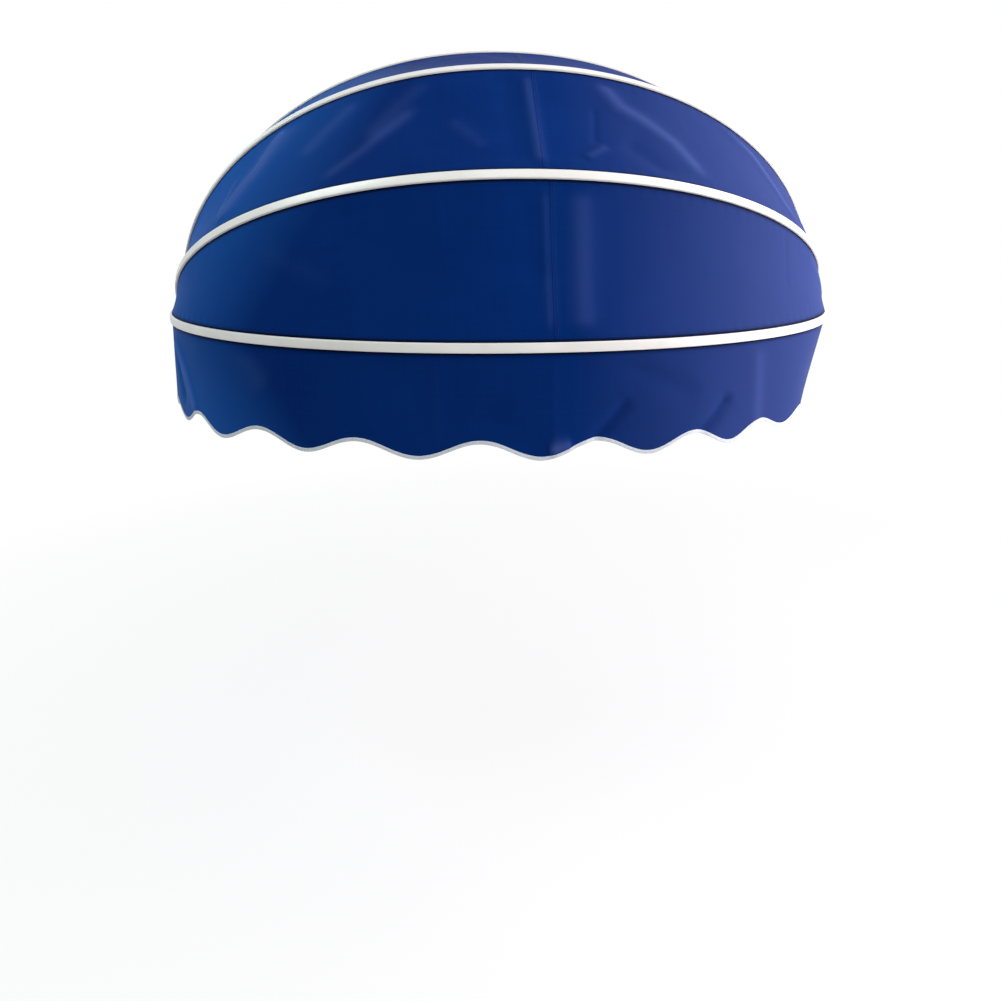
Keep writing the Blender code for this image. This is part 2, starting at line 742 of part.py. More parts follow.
# Hinge bracket: a cheek that carries the pin and a plate that is screwed to the wall
def build_hinge_bracket(side, label):
    across = Vector((1.0, 0.0, 0.0))
    deep = Vector((0.0, 1.0, 0.0))
    up = Vector((0.0, 0.0, 1.0))
    cheek_middle = side * (cheek_outer_face() - PLATE_THICKNESS / 2)
    outline = [(PIVOT_STANDOFF, CHEEK_HALF_HEIGHT)]
    for k in range(CHEEK_ARC_STEPS + 1):
        angle = math.pi / 2 + math.pi * k / CHEEK_ARC_STEPS
        outline.append((CHEEK_RADIUS * math.cos(angle), CHEEK_RADIUS * math.sin(angle)))
    outline.append((PIVOT_STANDOFF, -CHEEK_HALF_HEIGHT))
    place = axes_matrix(across * cheek_middle, deep, up, across)
    bracket = add_object("hinge_bracket_" + label, plate(outline, PLATE_THICKNESS, place),
                         "white_fitting", root_axis)
    plate_middle_x = side * (cheek_outer_face() - PLATE_WIDTH / 2)
    plate_middle = Vector((plate_middle_x, PIVOT_STANDOFF - PLATE_THICKNESS / 2, 0.0))
    join(bracket, box(plate_middle, across * PLATE_WIDTH, deep * PLATE_THICKNESS, up * PLATE_HALF_HEIGHT * 2))
    pin_line = across * cheek_middle
    cut(bracket, rod(pin_line - across * PLATE_THICKNESS, pin_line + across * PLATE_THICKNESS,
                     PIN_RADIUS + BORE_GAP, BORE_STEPS))
    for rise in (-SCREW_HOLE_RISE, SCREW_HOLE_RISE):
        hole = plate_middle + up * rise - across * side * PLATE_THICKNESS / 2
        cut(bracket, rod(hole - deep * PLATE_THICKNESS, hole + deep * PLATE_THICKNESS, SCREW_HOLE_RADIUS))


# Wall clips: a foot on the wall and a leg under the wall hoop, riveted to it.
# They are built in the wall hoop's own plane, where the wall lies at across = PIVOT_STANDOFF.

def clip_outline(foot_length):
    top = CLIP_TOP
    bottom = top + CLIP_THICKNESS
    face = PIVOT_STANDOFF
    return [
        (face, top),
        (-CLIP_REACH, top),
        (-CLIP_REACH, bottom),
        (face - CLIP_THICKNESS, bottom),
        (face - CLIP_THICKNESS, top + foot_length),
        (face, top + foot_length),
    ]


def build_clip(name, station, foot_length, parent):
    up = Vector((0.0, 0.0, 1.0))
    inward = station_inward(0, station)
    along = inward.cross(up)
    base = section_point(0, station, 0.0, 0.0)
    place = axes_matrix(base, up, inward, along)
    clip = add_object(name, plate(clip_outline(foot_length), CLIP_WIDTH, place), "white_fitting", parent)
    leg_middle = base + inward * (CLIP_TOP + CLIP_THICKNESS / 2)
    cut(clip, rod(leg_middle - inward * CLIP_THICKNESS, leg_middle + inward * CLIP_THICKNESS,
                  RIVET_RADIUS + BORE_GAP, RIVET_STEPS))
    screw = base + inward * (CLIP_TOP + CLIP_SCREW_DROP) + up * (PIVOT_STANDOFF - CLIP_THICKNESS / 2)
    cut(clip, rod(screw - up * CLIP_THICKNESS, screw + up * CLIP_THICKNESS, SCREW_HOLE_RADIUS))
    seat = base + inward * (CLIP_TOP + CLIP_THICKNESS)
    grip = CLIP_THICKNESS + SEAT_GAP * 2 + FLOOR_WALL + RIVET_TAIL
    add_rivet(name.replace("wall_clip", "clip_rivet").replace("bracket", "rivet"), seat, inward, grip, parent)
    return clip


# Crown bracket: the middle clip, with a longer foot and two ears that hold the pulley

def build_crown_bracket(parent):
    bracket = build_clip("crown_bracket", CROWN_STATION, CROWN_FOOT, parent)
    up = Vector((0.0, 0.0, 1.0))
    inward = station_inward(0, CROWN_STATION)
    across = Vector((1.0, 0.0, 0.0))
    base = section_point(0, CROWN_STATION, CLIP_TOP, 0.0)
    ear_offset = SHEAVE_WIDTH / 2 + SEAT_GAP + EAR_THICKNESS / 2
    axle_across = PIVOT_STANDOFF - CLIP_THICKNESS - EAR_LENGTH + EAR_WIDTH / 2
    axle = base + inward * SHEAVE_DROP + up * axle_across
    for side in (-1, 1):
        ear_middle = base + inward * SHEAVE_DROP + across * side * ear_offset
        ear_middle = ear_middle + up * (PIVOT_STANDOFF - CLIP_THICKNESS / 2 - EAR_LENGTH / 2)
        join(bracket, box(ear_middle, across * EAR_THICKNESS, inward * EAR_WIDTH, up * EAR_LENGTH))
    bore_half = across * (ear_offset + EAR_THICKNESS)
    cut(bracket, rod(axle - bore_half, axle + bore_half, AXLE_RADIUS + BORE_GAP))
    groove = [
        (AXLE_RADIUS + BORE_GAP, SHEAVE_WIDTH / 2),
        (SHEAVE_RADIUS, SHEAVE_WIDTH / 2),
        (SHEAVE_RADIUS - SHEAVE_GROOVE, SHEAVE_FLOOR / 2),
        (SHEAVE_RADIUS - SHEAVE_GROOVE, -SHEAVE_FLOOR / 2),
        (SHEAVE_RADIUS, -SHEAVE_WIDTH / 2),
        (AXLE_RADIUS + BORE_GAP, -SHEAVE_WIDTH / 2),
    ]
    sheave = turned("pulley_sheave", groove, True, SHEAVE_STEPS, "grey_nylon", parent)
    sheave.location = axle
    sheave.rotation_euler = (0.0, math.pi / 2, 0.0)
    ear_face = ear_offset + EAR_THICKNESS / 2 + SEAT_GAP
    profile = [
        (0.0, ear_face + AXLE_HEAD_HEIGHT),
        (AXLE_HEAD_RADIUS, ear_face + AXLE_HEAD_HEIGHT),
        (AXLE_HEAD_RADIUS, ear_face),
        (AXLE_RADIUS, ear_face),
        (AXLE_RADIUS, -ear_face),
        (AXLE_HEAD_RADIUS, -ear_face),
        (AXLE_HEAD_RADIUS, -ear_face - AXLE_HEAD_HEIGHT),
        (0.0, -ear_face - AXLE_HEAD_HEIGHT),
    ]
    axle_pin = turned("pulley_axle", profile, False, ROUND_STEPS, "zinc_steel", parent)
    axle_pin.location = axle
    axle_pin.rotation_euler = (0.0, math.pi / 2, 0.0)


def add_axis(name, angle):
    axis = bpy.data.objects.new(name, None)
    awning.objects.link(axis)
    axis.location = PIVOT
    axis.rotation_euler = (-angle, 0.0, 0.0)
    return axis


root_axis = add_axis("pivot_axis", 0.0)
hoop_axes = [add_axis(name + "_axis", hoop_angle(rank)) for rank, name in enumerate(HOOP_NAMES)]

for rank, axis in enumerate(hoop_axes):
    build_hoop(rank, axis)
    for side, label in ((-1, "left"), (1, "right")):
        build_end_fitting(rank, side, label, axis)
        centre, inward = end_hole_line(rank, side)
        rivet_name = HOOP_NAMES[rank].replace("hoop", "rivet") + "_" + label
        add_rivet(rivet_name, centre + inward * PROFILE_DEPTH, inward, RIVET_GRIP, axis)
    if rank > 0:
        build_cord_eye(rank, axis)

for side, label in ((-1, "left"), (1, "right")):
    build_hinge_bracket(side, label)
    build_pivot(side, label)

for name, station in CLIP_STATIONS.items():
    build_clip(name, station, CLIP_FOOT, hoop_axes[0])
build_crown_bracket(hoop_axes[0])

build_canopy("canopy_rear", 0, root_axis)
build_canopy("canopy_middle", 1, root_axis)
build_canopy("canopy_front", 2, root_axis)
build_valance(hoop_axes[FRONT_RANK])
build_binding(hoop_axes[FRONT_RANK])
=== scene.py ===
import math

import bpy
import numpy as np
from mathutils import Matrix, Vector, noise


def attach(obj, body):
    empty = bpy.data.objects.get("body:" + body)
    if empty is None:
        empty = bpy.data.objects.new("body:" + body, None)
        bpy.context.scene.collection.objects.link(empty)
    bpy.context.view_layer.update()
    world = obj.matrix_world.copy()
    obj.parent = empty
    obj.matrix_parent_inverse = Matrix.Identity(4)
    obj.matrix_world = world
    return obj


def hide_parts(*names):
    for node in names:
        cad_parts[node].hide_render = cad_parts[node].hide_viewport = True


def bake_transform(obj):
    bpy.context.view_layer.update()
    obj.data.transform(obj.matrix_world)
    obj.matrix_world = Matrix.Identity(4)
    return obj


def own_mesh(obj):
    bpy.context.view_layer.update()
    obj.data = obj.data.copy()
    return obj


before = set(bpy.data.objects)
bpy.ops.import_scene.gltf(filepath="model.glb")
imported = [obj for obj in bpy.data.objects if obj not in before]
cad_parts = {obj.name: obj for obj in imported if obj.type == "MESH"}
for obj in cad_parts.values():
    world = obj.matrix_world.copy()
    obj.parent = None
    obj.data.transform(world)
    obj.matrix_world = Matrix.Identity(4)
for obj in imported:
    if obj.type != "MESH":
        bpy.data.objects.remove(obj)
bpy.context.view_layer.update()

scene = bpy.context.scene
bpy.ops.object.select_all(action='DESELECT')
print("frame loaded:", len(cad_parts), "nodes")


# camera, at the photograph's viewing angle
camera = {
    "place": (-0.2432, -2.9189, 0.3522),
    "pitchDeg": -13.0,
    "yawDeg": -4.791,
    "focalPixels": 914.9,
    "shiftPixels": (0.0, -97.0),
    "framePixels": 1001,
    "sensor": 36.0,
}

bpy.ops.object.camera_add(location=camera["place"])
cam = bpy.context.object
cam.rotation_euler = (math.radians(90 + camera["pitchDeg"]), 0, math.radians(camera["yawDeg"]))
cam.data.sensor_width = camera["sensor"]
cam.data.lens = camera["focalPixels"] / camera["framePixels"] * camera["sensor"]
cam.data.shift_x = -camera["shiftPixels"][0] / camera["framePixels"]
cam.data.shift_y = camera["shiftPixels"][1] / camera["framePixels"]
cam.data.clip_start = 0.05
cam.data.clip_end = 100
scene.camera = cam
scene.view_settings.view_transform = 'Standard'
print("camera placed")


# hoop rails: the same four hoops as the solids, bent smooth
hoops = {
    "names": ["wall_hoop", "upper_hoop", "lower_hoop", "front_hoop"],
    "bodies": ["root", "upper", "lower", "front"],
    "halfWidth": 1.0,
    "reach": 0.81,
    "squareness": 2.085,
    "nest": 0.015,
    "legs": 27,
    "riseDeg": 90.0,
    "standoff": 0.03,
    "start": 0.045,
    "perLeg": 8,
}
frontRank = len(hoops["names"]) - 1
legs = hoops["legs"]


def hoopAngle(rank):
    return math.radians(hoops["riseDeg"] * (frontRank - rank) / frontRank)


def squared(values):
    return np.sign(values) * np.abs(values) ** (2 / hoops["squareness"])


def hoopCorners(rank):
    a = hoops["halfWidth"] - (frontRank - rank) * hoops["nest"]
    b = hoops["reach"] - (frontRank - rank) * hoops["nest"]
    turn = np.pi * np.arange(legs + 1) / legs
    points = np.stack([-a * squared(np.cos(turn)), -b * squared(np.sin(turn))], 1)
    points[0, 1] = points[-1, 1] = 0.0
    first = points[1] - points[0]
    last = points[-2] - points[-1]
    points[0] += first / np.linalg.norm(first) * hoops["start"]
    points[-1] += last / np.linalg.norm(last) * hoops["start"]
    return points


# point and inward direction on a hoop's outer face, in the hoop's own plane, at stations 0 to 27
def railAt(rank, stations):
    corners = hoopCorners(rank)
    s = np.asarray(stations, float)
    k = np.clip(np.round(s), 1, legs - 1).astype(int)
    isFirst, isLast = (k == 1)[..., None], (k == legs - 1)[..., None]
    before = np.where(isFirst, corners[0], (corners[k - 1] + corners[k]) / 2)
    after = np.where(isLast, corners[legs], (corners[k] + corners[k + 1]) / 2)
    low = np.where(k == 1, 0.0, k - 0.5)
    high = np.where(k == legs - 1, float(legs), k + 0.5)
    t = ((s - low) / (high - low))[..., None]
    point = (1 - t) ** 2 * before + 2 * t * (1 - t) * corners[k] + t ** 2 * after
    along = (1 - t) * (corners[k] - before) + t * (after - corners[k])
    along = along / np.linalg.norm(along, axis=-1, keepdims=True)
    return point, np.stack([-along[..., 1], along[..., 0]], -1)


def toFrame(rank, flat, across):
    turn = hoopAngle(rank)
    y, z = flat[..., 1], np.broadcast_to(across, flat[..., 1].shape)
    return np.stack([
        flat[..., 0],
        y * math.cos(turn) + z * math.sin(turn) - hoops["standoff"],
        -y * math.sin(turn) + z * math.cos(turn),
    ], -1)


# depth is inwards from the outer face, across is along the hoop plane's normal
def onHoop(rank, stations, depth, across):
    point, inward = railAt(rank, stations)
    depth = np.broadcast_to(depth, point.shape[:-1])
    return toFrame(rank, point + inward * depth[..., None], across)


def smooth(x):
    x = np.clip(x, 0.0, 1.0)
    return x * x * (3 - 2 * x)


def arcTable(rank):
    corners = hoopCorners(rank)
    return np.concatenate([[0.0], np.cumsum(np.linalg.norm(np.diff(corners, axis=0), axis=1))])


def arcAt(stations):
    return np.interp(stations, np.arange(legs + 1), arcTable(frontRank))


arcTotal = arcTable(frontRank)[-1]


# mesh helpers
def link(name, mesh):
    piece = bpy.data.objects.new(name, mesh)
    scene.collection.objects.link(piece)
    return piece


def normalsOf(grid):
    alongColumns = np.gradient(grid, axis=1)
    alongRows = np.gradient(grid, axis=0)
    n = np.cross(alongColumns, alongRows)
    return n / np.maximum(np.linalg.norm(n, axis=-1, keepdims=True), 1e-12)


def outwardNormals(grid, inward):
    normal = normalsOf(grid)
    middle = normal[grid.shape[0] // 2, grid.shape[1] // 2]
    return -normal if middle @ inward > 0 else normal


# a closed sheet between two skins, with its own UV map in metres: u along the hoop, v across
def twoSkins(name, outer, inner, uv):
    rows, columns = outer.shape[:2]
    count = rows * columns
    grid = np.arange(count).reshape(rows, columns)
    a, b, c, d = grid[:-1, :-1], grid[:-1, 1:], grid[1:, 1:], grid[1:, :-1]
    top = np.stack([a, b, c, d], -1).reshape(-1, 4)
    bottom = np.stack([a, d, c, b], -1).reshape(-1, 4) + count
    rim = np.concatenate([grid[0, :], grid[1:, -1], grid[-1, -2::-1], grid[-2:0:-1, 0]])
    nextRim = np.roll(rim, -1)
    edge = np.stack([nextRim, rim, rim + count, nextRim + count], -1)
    faces = np.concatenate([top, bottom, edge])
    points = np.concatenate([outer.reshape(-1, 3), inner.reshape(-1, 3)])
    mesh = bpy.data.meshes.new(name)
    mesh.from_pydata(points.tolist(), [], faces.tolist())
    layer = mesh.uv_layers.new(name="clothMap")
    flat = np.concatenate([uv.reshape(-1, 2)] * 2)
    layer.data.foreach_set("uv", flat[faces.ravel()].astype(np.float32).ravel())
    mesh.validate()
    mesh.shade_smooth()
    return link(name, mesh)


# small sewn stitches, each a closed lozenge of thread laid along its row
def stitchMesh(name, points, alongs, normals, size):
    halfLength, halfWidth, height = size["length"] / 2, size["width"] / 2, size["height"]
    ring = [(0.0, 1.0), (1.0, 0.0), (0.0, -0.6), (-1.0, 0.0)]
    shares = [(-0.8, 0.55), (0.0, 1.0), (0.8, 0.55)]
    verts, faces = [], []
    sides = np.cross(normals, alongs)
    for p, t, s, n in zip(points, alongs, sides, normals):
        base = len(verts)
        verts.append(p - t * halfLength - n * height * 0.4)
        for reach, grow in shares:
            for across, up in ring:
                spread = s * halfWidth * across * grow + n * height * up * grow
                verts.append(p + t * halfLength * reach + spread)
        verts.append(p + t * halfLength - n * height * 0.4)
        last = base + 1 + 4 * len(shares)
        for k in range(4):
            m = (k + 1) % 4
            faces.append((base, base + 1 + m, base + 1 + k))
            for j in range(len(shares) - 1):
                r, q = base + 1 + 4 * j, base + 5 + 4 * j
                faces.append((r + k, r + m, q + m, q + k))
            tail = base + 1 + 4 * (len(shares) - 1)
            faces.append((tail + k, tail + m, last))
    mesh = bpy.data.meshes.new(name)
    mesh.from_pydata([tuple(v) for v in verts], [], faces)
    mesh.shade_smooth()
    return link(name, mesh)


# materials
def newMaterial(name, base, roughness, **constants):
    material = bpy.data.materials.new(name)
    material.use_nodes = True
    shader = material.node_tree.nodes["Principled BSDF"]
    shader.inputs["Base Color"].default_value = (*base, 1)
    shader.inputs["Roughness"].default_value = roughness
    for socket, value in constants.items():
        shader.inputs[socket.replace("_", " ")].default_value = value
    return material, material.node_tree.nodes, material.node_tree.links, shader


def addNode(nodes, kind, **values):
    node = nodes.new(kind)
    for key, value in values.items():
        if key in node.inputs:
            node.inputs[key].default_value = value
        else:
            setattr(node, key, value)
    return node


def mathNode(nodes, links, operation, a, b):
    node = nodes.new("ShaderNodeMath")
    node.operation = operation
    for slot, value in ((0, a), (1, b)):
        if isinstance(value, (int, float)):
            node.inputs[slot].default_value = value
        else:
            links.new(value, node.inputs[slot])
    return node.outputs[0]


def mixColour(nodes, links, factor, first, second):
    node = nodes.new("ShaderNodeMix")
    node.data_type = 'RGBA'
    links.new(factor, node.inputs["Factor"])
    for socket, value in (("A", first), ("B", second)):
        target = [i for i in node.inputs if i.name == socket and i.type == 'RGBA'][0]
        if isinstance(value, tuple):
            target.default_value = (*value, 1)
        else:
            links.new(value, target)
    return [o for o in node.outputs if o.type == 'RGBA'][0]


def ramp(nodes, links, value, low, high, bottom=0.0, top=1.0):
    node = nodes.new("ShaderNodeMapRange")
    node.clamp = True
    for socket, number in (("From Min", low), ("From Max", high), ("To Min", bottom), ("To Max", top)):
        node.inputs[socket].default_value = number
    links.new(value, node.inputs["Value"])
    return node.outputs["Result"]


def addBump(nodes, links, shader, height, strength, distance, previous=None):
    bump = nodes.new("ShaderNodeBump")
    bump.inputs["Strength"].default_value = strength
    bump.inputs["Distance"].default_value = distance
    links.new(height, bump.inputs["Height"])
    if previous is not None:
        links.new(previous, bump.inputs["Normal"])
    links.new(bump.outputs["Normal"], shader.inputs["Normal"])
    return bump.outputs["Normal"]


cloth = {
    "colour": (0.0010, 0.0190, 0.1180),
    "faded": (0.0020, 0.0250, 0.1400),
    "deep": (0.0006, 0.0140, 0.0950),
    # painted light: towards the left end the cloth is mixed to a lighter cyan blue, standing in for light
    # falling on that side
    "leftLightPaint": (0.0110, 0.0820, 0.3200),
    "leftLightSide": (-0.68, -1.02),
    "leftLightShare": 0.84,
    "leftLightSlope": -0.60,
    # painted highlight: fold crests are mixed to this paler blue, and fold valleys to the deep colour as
    # painted shade
    "paintedFoldLight": (0.0950, 0.1500, 0.4000),
    "paintedFoldShare": 0.40,
    # painted sheen: towards the right end the cloth is mixed to a paler lilac blue, standing in for the sheen
    # of light from that side
    "rightSheenPaint": (0.0340, 0.0490, 0.1550),
    "rightSheenSide": (0.10, 1.00),
    "rightSheenShare": 0.85,
    "roughness": 0.50,
    "threadPerMetre": 1300.0,
    "slubPerMetre": 120.0,
}


# what both woven cloths share: how far each noise and tint goes
woven = {
    "sheenRoughness": 0.45,
    "specular": 0.008,
    "slubStretch": 4.0,
    "slubRange": (0.25, 0.75),
    "cloudScale": 3.2,
    "fadedRange": (0.45, 0.80, 0.0, 0.45),
    "threadShade": 0.16,
    # painted shadow: the near-black colour laid along the cloth's edges where it goes into the hoops' grooves
    "groove": (0.0004, 0.0010, 0.0050),
    "grooveShare": 0.92,
    "roughRange": (0.3, 0.7),
    "roughSpread": (-0.05, 0.06),
    "slubBump": (0.25, 0.0004),
    "weaveBump": (0.35, 0.0002),
}


def wovenCloth(name, look, sheenWeight, sheenTint):
    material, nodes, links, shader = newMaterial(
        name, look["colour"], look["roughness"], Sheen_Weight=sheenWeight,
        Sheen_Roughness=woven["sheenRoughness"], Sheen_Tint=(*sheenTint, 1),
        Specular_IOR_Level=woven["specular"])
    where = nodes.new("ShaderNodeTexCoord")
    split = nodes.new("ShaderNodeSeparateXYZ")
    links.new(where.outputs["UV"], split.inputs[0])
    turns = 2 * math.pi * look["threadPerMetre"] / 2
    warp = mathNode(nodes, links, 'SINE', mathNode(nodes, links, 'MULTIPLY', split.outputs[0], turns), 0)
    weft = mathNode(nodes, links, 'SINE', mathNode(nodes, links, 'MULTIPLY', split.outputs[1], turns), 0)
    weave = ramp(nodes, links, mathNode(nodes, links, 'MULTIPLY', warp, weft), -1, 1)
    slubs = []
    slow = woven["slubStretch"]
    for stretch in ((look["slubPerMetre"], slow, 1.0), (slow, look["slubPerMetre"], 1.0)):
        mapping = addNode(nodes, "ShaderNodeMapping", Scale=stretch)
        links.new(where.outputs["UV"], mapping.inputs["Vector"])
        slub = addNode(nodes, "ShaderNodeTexNoise", Scale=1.0, Detail=3.0, Roughness=0.6)
        links.new(mapping.outputs[0], slub.inputs["Vector"])
        slubs.append(slub.outputs["Fac"])
    threads = mathNode(nodes, links, 'MULTIPLY', mathNode(nodes, links, 'ADD', *slubs), 0.5)
    cloud = addNode(nodes, "ShaderNodeTexNoise", Scale=woven["cloudScale"], Detail=3.0, Roughness=0.5)
    links.new(where.outputs["Object"], cloud.inputs["Vector"])
    slubbed = ramp(nodes, links, threads, *woven["slubRange"])
    tone = mixColour(nodes, links, slubbed, look["deep"], look["colour"])
    clouded = ramp(nodes, links, cloud.outputs["Fac"], *woven["fadedRange"])
    tone = mixColour(nodes, links, clouded, tone, look["faded"])
    between = ramp(nodes, links, weave, 0.0, 1.0, woven["threadShade"], 0.0)
    tone = mixColour(nodes, links, between, tone, look["deep"])
    place = nodes.new("ShaderNodeSeparateXYZ")
    links.new(where.outputs["Object"], place.inputs[0])
    height = mathNode(nodes, links, 'ABSOLUTE', place.outputs[2], 0)
    # painted light: the colour turns a lighter cyan blue towards the left end, sooner higher up or lower
    # down, as if lit from that side
    raised = mathNode(nodes, links, 'MULTIPLY', height, look["leftLightSlope"])
    towardsLeftLight = mathNode(nodes, links, 'ADD', place.outputs[0], raised)
    leftLit = ramp(nodes, links, towardsLeftLight, *look["leftLightSide"], 0.0, look["leftLightShare"])
    tone = mixColour(nodes, links, leftLit, tone, look["leftLightPaint"])
    # painted sheen: the colour turns a paler lilac blue towards the right end, as if glare from that side lay
    # on it
    rightSheened = ramp(nodes, links, place.outputs[0], *look["rightSheenSide"], 0.0, look["rightSheenShare"])
    tone = mixColour(nodes, links, rightSheened, tone, look["rightSheenPaint"])
    # painted highlight on fold crests and painted shade in fold valleys, by each point's height on its fold
    fold = addNode(nodes, "ShaderNodeAttribute", attribute_name="foldLightPaint")
    for side, tint in ((1.0, look["paintedFoldLight"]), (-1.0, look["deep"])):
        foldLit = ramp(nodes, links, fold.outputs["Fac"], 0.0, side, 0.0, look["paintedFoldShare"])
        tone = mixColour(nodes, links, foldLit, tone, tint)
    # painted shadow: the cloth darkens to near black along its edges, where it goes under the hoops' lips
    groove = addNode(nodes, "ShaderNodeAttribute", attribute_name="grooveShade")
    shaded = ramp(nodes, links, groove.outputs["Fac"], 0.0, 1.0, 0.0, woven["grooveShare"])
    tone = mixColour(nodes, links, shaded, tone, woven["groove"])
    links.new(tone, shader.inputs["Base Color"])
    roughs = [look["roughness"] + spread for spread in woven["roughSpread"]]
    rough = ramp(nodes, links, cloud.outputs["Fac"], *woven["roughRange"], *roughs)
    links.new(rough, shader.inputs["Roughness"])
    bump = addBump(nodes, links, shader, threads, *woven["slubBump"])
    addBump(nodes, links, shader, weave, *woven["weaveBump"], bump)
    return material


# the hem tape is woven the same way, without the canopy's painted light and sheen by place and painted
# highlight and shade on folds
binding = {
    **cloth,
    "colour": (0.540, 0.580, 0.610),
    "faded": (0.600, 0.630, 0.650),
    "deep": (0.400, 0.435, 0.465),
    "leftLightShare": 0.0,
    "paintedFoldShare": 0.0,
    "rightSheenShare": 0.0,
    "roughness": 0.70,
    "threadPerMetre": 1500.0,
    "slubPerMetre": 260.0,
}
thread = {
    "colour": (0.0012, 0.0130, 0.0850),
    "pale": (0.62, 0.64, 0.66),
    "roughness": 0.45,
    "sheen": 0.03,
    "specular": 0.15,
    "twistScale": 900.0,
    "shade": 0.75,
    "bump": (0.3, 0.0002),
}


def threadMaterial(name, colour):
    material, nodes, links, shader = newMaterial(
        name, colour, thread["roughness"], Sheen_Weight=thread["sheen"],
        Specular_IOR_Level=thread["specular"])
    where = nodes.new("ShaderNodeTexCoord")
    twist = addNode(nodes, "ShaderNodeTexNoise", Scale=thread["twistScale"], Detail=2.0)
    links.new(where.outputs["Object"], twist.inputs["Vector"])
    darker = tuple(c * thread["shade"] for c in colour)
    twisted = ramp(nodes, links, twist.outputs["Fac"], 0.35, 0.65)
    links.new(mixColour(nodes, links, twisted, darker, colour), shader.inputs["Base Color"])
    addBump(nodes, links, shader, twist.outputs["Fac"], *thread["bump"])
    return material


# coated or bare metal and plastic: a fine grain, a slow tint and small marks
finishes = {
    "whiteProfile": {"colour": (0.645, 0.635, 0.600), "second": (0.600, 0.588, 0.548), "rough": (0.30, 0.42),
                     "grain": 900.0, "grainBump": (0.06, 0.0002), "coat": 0.15, "metal": 0.0, "marks": 0.10},
    "whiteFitting": {"colour": (0.690, 0.690, 0.660), "second": (0.610, 0.605, 0.570), "rough": (0.42, 0.58),
                     "grain": 1400.0, "grainBump": (0.15, 0.0002), "coat": 0.05, "metal": 0.0, "marks": 0.16},
    "zincSteel": {"colour": (0.560, 0.565, 0.575), "second": (0.400, 0.405, 0.420), "rough": (0.26, 0.46),
                  "grain": 500.0, "grainBump": (0.10, 0.0002), "coat": 0.0, "metal": 1.0, "marks": 0.20},
    "greyNylon": {"colour": (0.085, 0.086, 0.090), "second": (0.055, 0.056, 0.060), "rough": (0.40, 0.56),
                  "grain": 1100.0, "grainBump": (0.12, 0.0002), "coat": 0.0, "metal": 0.0, "marks": 0.12},
}


def hardFinish(name):
    look = finishes[name]
    material, nodes, links, shader = newMaterial(
        name, look["colour"], look["rough"][0], Metallic=look["metal"],
        Coat_Weight=look["coat"], Coat_Roughness=0.2)
    where = nodes.new("ShaderNodeTexCoord")
    slow = addNode(nodes, "ShaderNodeTexNoise", Scale=7.0, Detail=4.0, Roughness=0.6)
    fine = addNode(nodes, "ShaderNodeTexNoise", Scale=look["grain"], Detail=2.0)
    specks = addNode(nodes, "ShaderNodeTexVoronoi", Scale=160.0)
    for texture in (slow, fine, specks):
        links.new(where.outputs["Object"], texture.inputs["Vector"])
    tinted = ramp(nodes, links, slow.outputs["Fac"], 0.35, 0.70)
    tone = mixColour(nodes, links, tinted, look["colour"], look["second"])
    grime = ramp(nodes, links, specks.outputs["Distance"], 0.02, 0.12, look["marks"], 0.0)
    worn = tuple(c * 0.55 for c in look["second"])
    tone = mixColour(nodes, links, grime, tone, worn)
    links.new(tone, shader.inputs["Base Color"])
    links.new(ramp(nodes, links, slow.outputs["Fac"], 0.3, 0.7, *look["rough"]), shader.inputs["Roughness"])
    addBump(nodes, links, shader, fine.outputs["Fac"], *look["grainBump"])
    return material


canopyMaterial = wovenCloth("canopyCloth", cloth, 0.015, (0.80, 0.78, 1.0))
bindingMaterial = wovenCloth("bindingTape", binding, 0.10, (1.0, 1.0, 1.0))
blueThread = threadMaterial("blueThread", thread["colour"])
paleThread = threadMaterial("paleThread", thread["pale"])
hardMaterials = {slot: hardFinish(slot) for slot in finishes}
print("materials made")


# fittings that stay as they are get their finish
fittingFinish = {"hinge_bracket": "whiteFitting", "_hinge_": "whiteFitting",
                 "wall_clip": "whiteFitting", "crown_bracket": "whiteFitting", "rivet": "zincSteel",
                 "washer": "zincSteel", "cap_nut": "zincSteel", "pivot_pin": "zincSteel",
                 "axle": "zincSteel", "cord_eye": "zincSteel", "spacer": "greyNylon",
                 "sheave": "greyNylon"}
for nodeName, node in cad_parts.items():
    finish = next((f for word, f in fittingFinish.items() if word in nodeName), None)
    if finish is None:
        continue
    for k in range(max(1, len(node.material_slots))):
        if node.material_slots:
            node.material_slots[k].material = hardMaterials[finish]
        else:
            node.data.materials.append(hardMaterials[finish])


# hoops: the aluminium profile swept along the smooth rail
profile = {
    "widths": [0.022, 0.0245, 0.0245, 0.0245],
    "depth": 0.012,
    "domeRise": 0.00066,
    "domeShare": 0.84,          # of the half width; the rounded edge has the rest
    "domeSteps": 6,
    "edgeSteps": 5,
    "lipDepth": 0.0060,
    "lipWidth": 0.0016,
    "lipReturn": 0.0003,
    "slot": 0.0020,
    "bore": 0.0046,
    "boreOpenDeg": 38,
    "boreSteps": 8,
    "lowerLip": [(0.0, 0.0009), (0.0004, 0.0004)],       # below the slot, in from the side
    "heel": [(0.0030, 0.0008), (0.0016, 0.0028)],        # above the back, in from the side
    "foot": 0.0104,
    "footRound": (0.0004, 0.0006),
}
beadDepth = profile["lipDepth"] + profile["slot"] / 2


# where the bead lies and where the cloth comes out, to the side of a hoop's middle
def beadLine(rank):
    return profile["widths"][rank] / 2 - profile["lipWidth"] - profile["bore"] / 2


def exitLine(rank):
    return profile["widths"][rank] / 2 + gore["exit"]


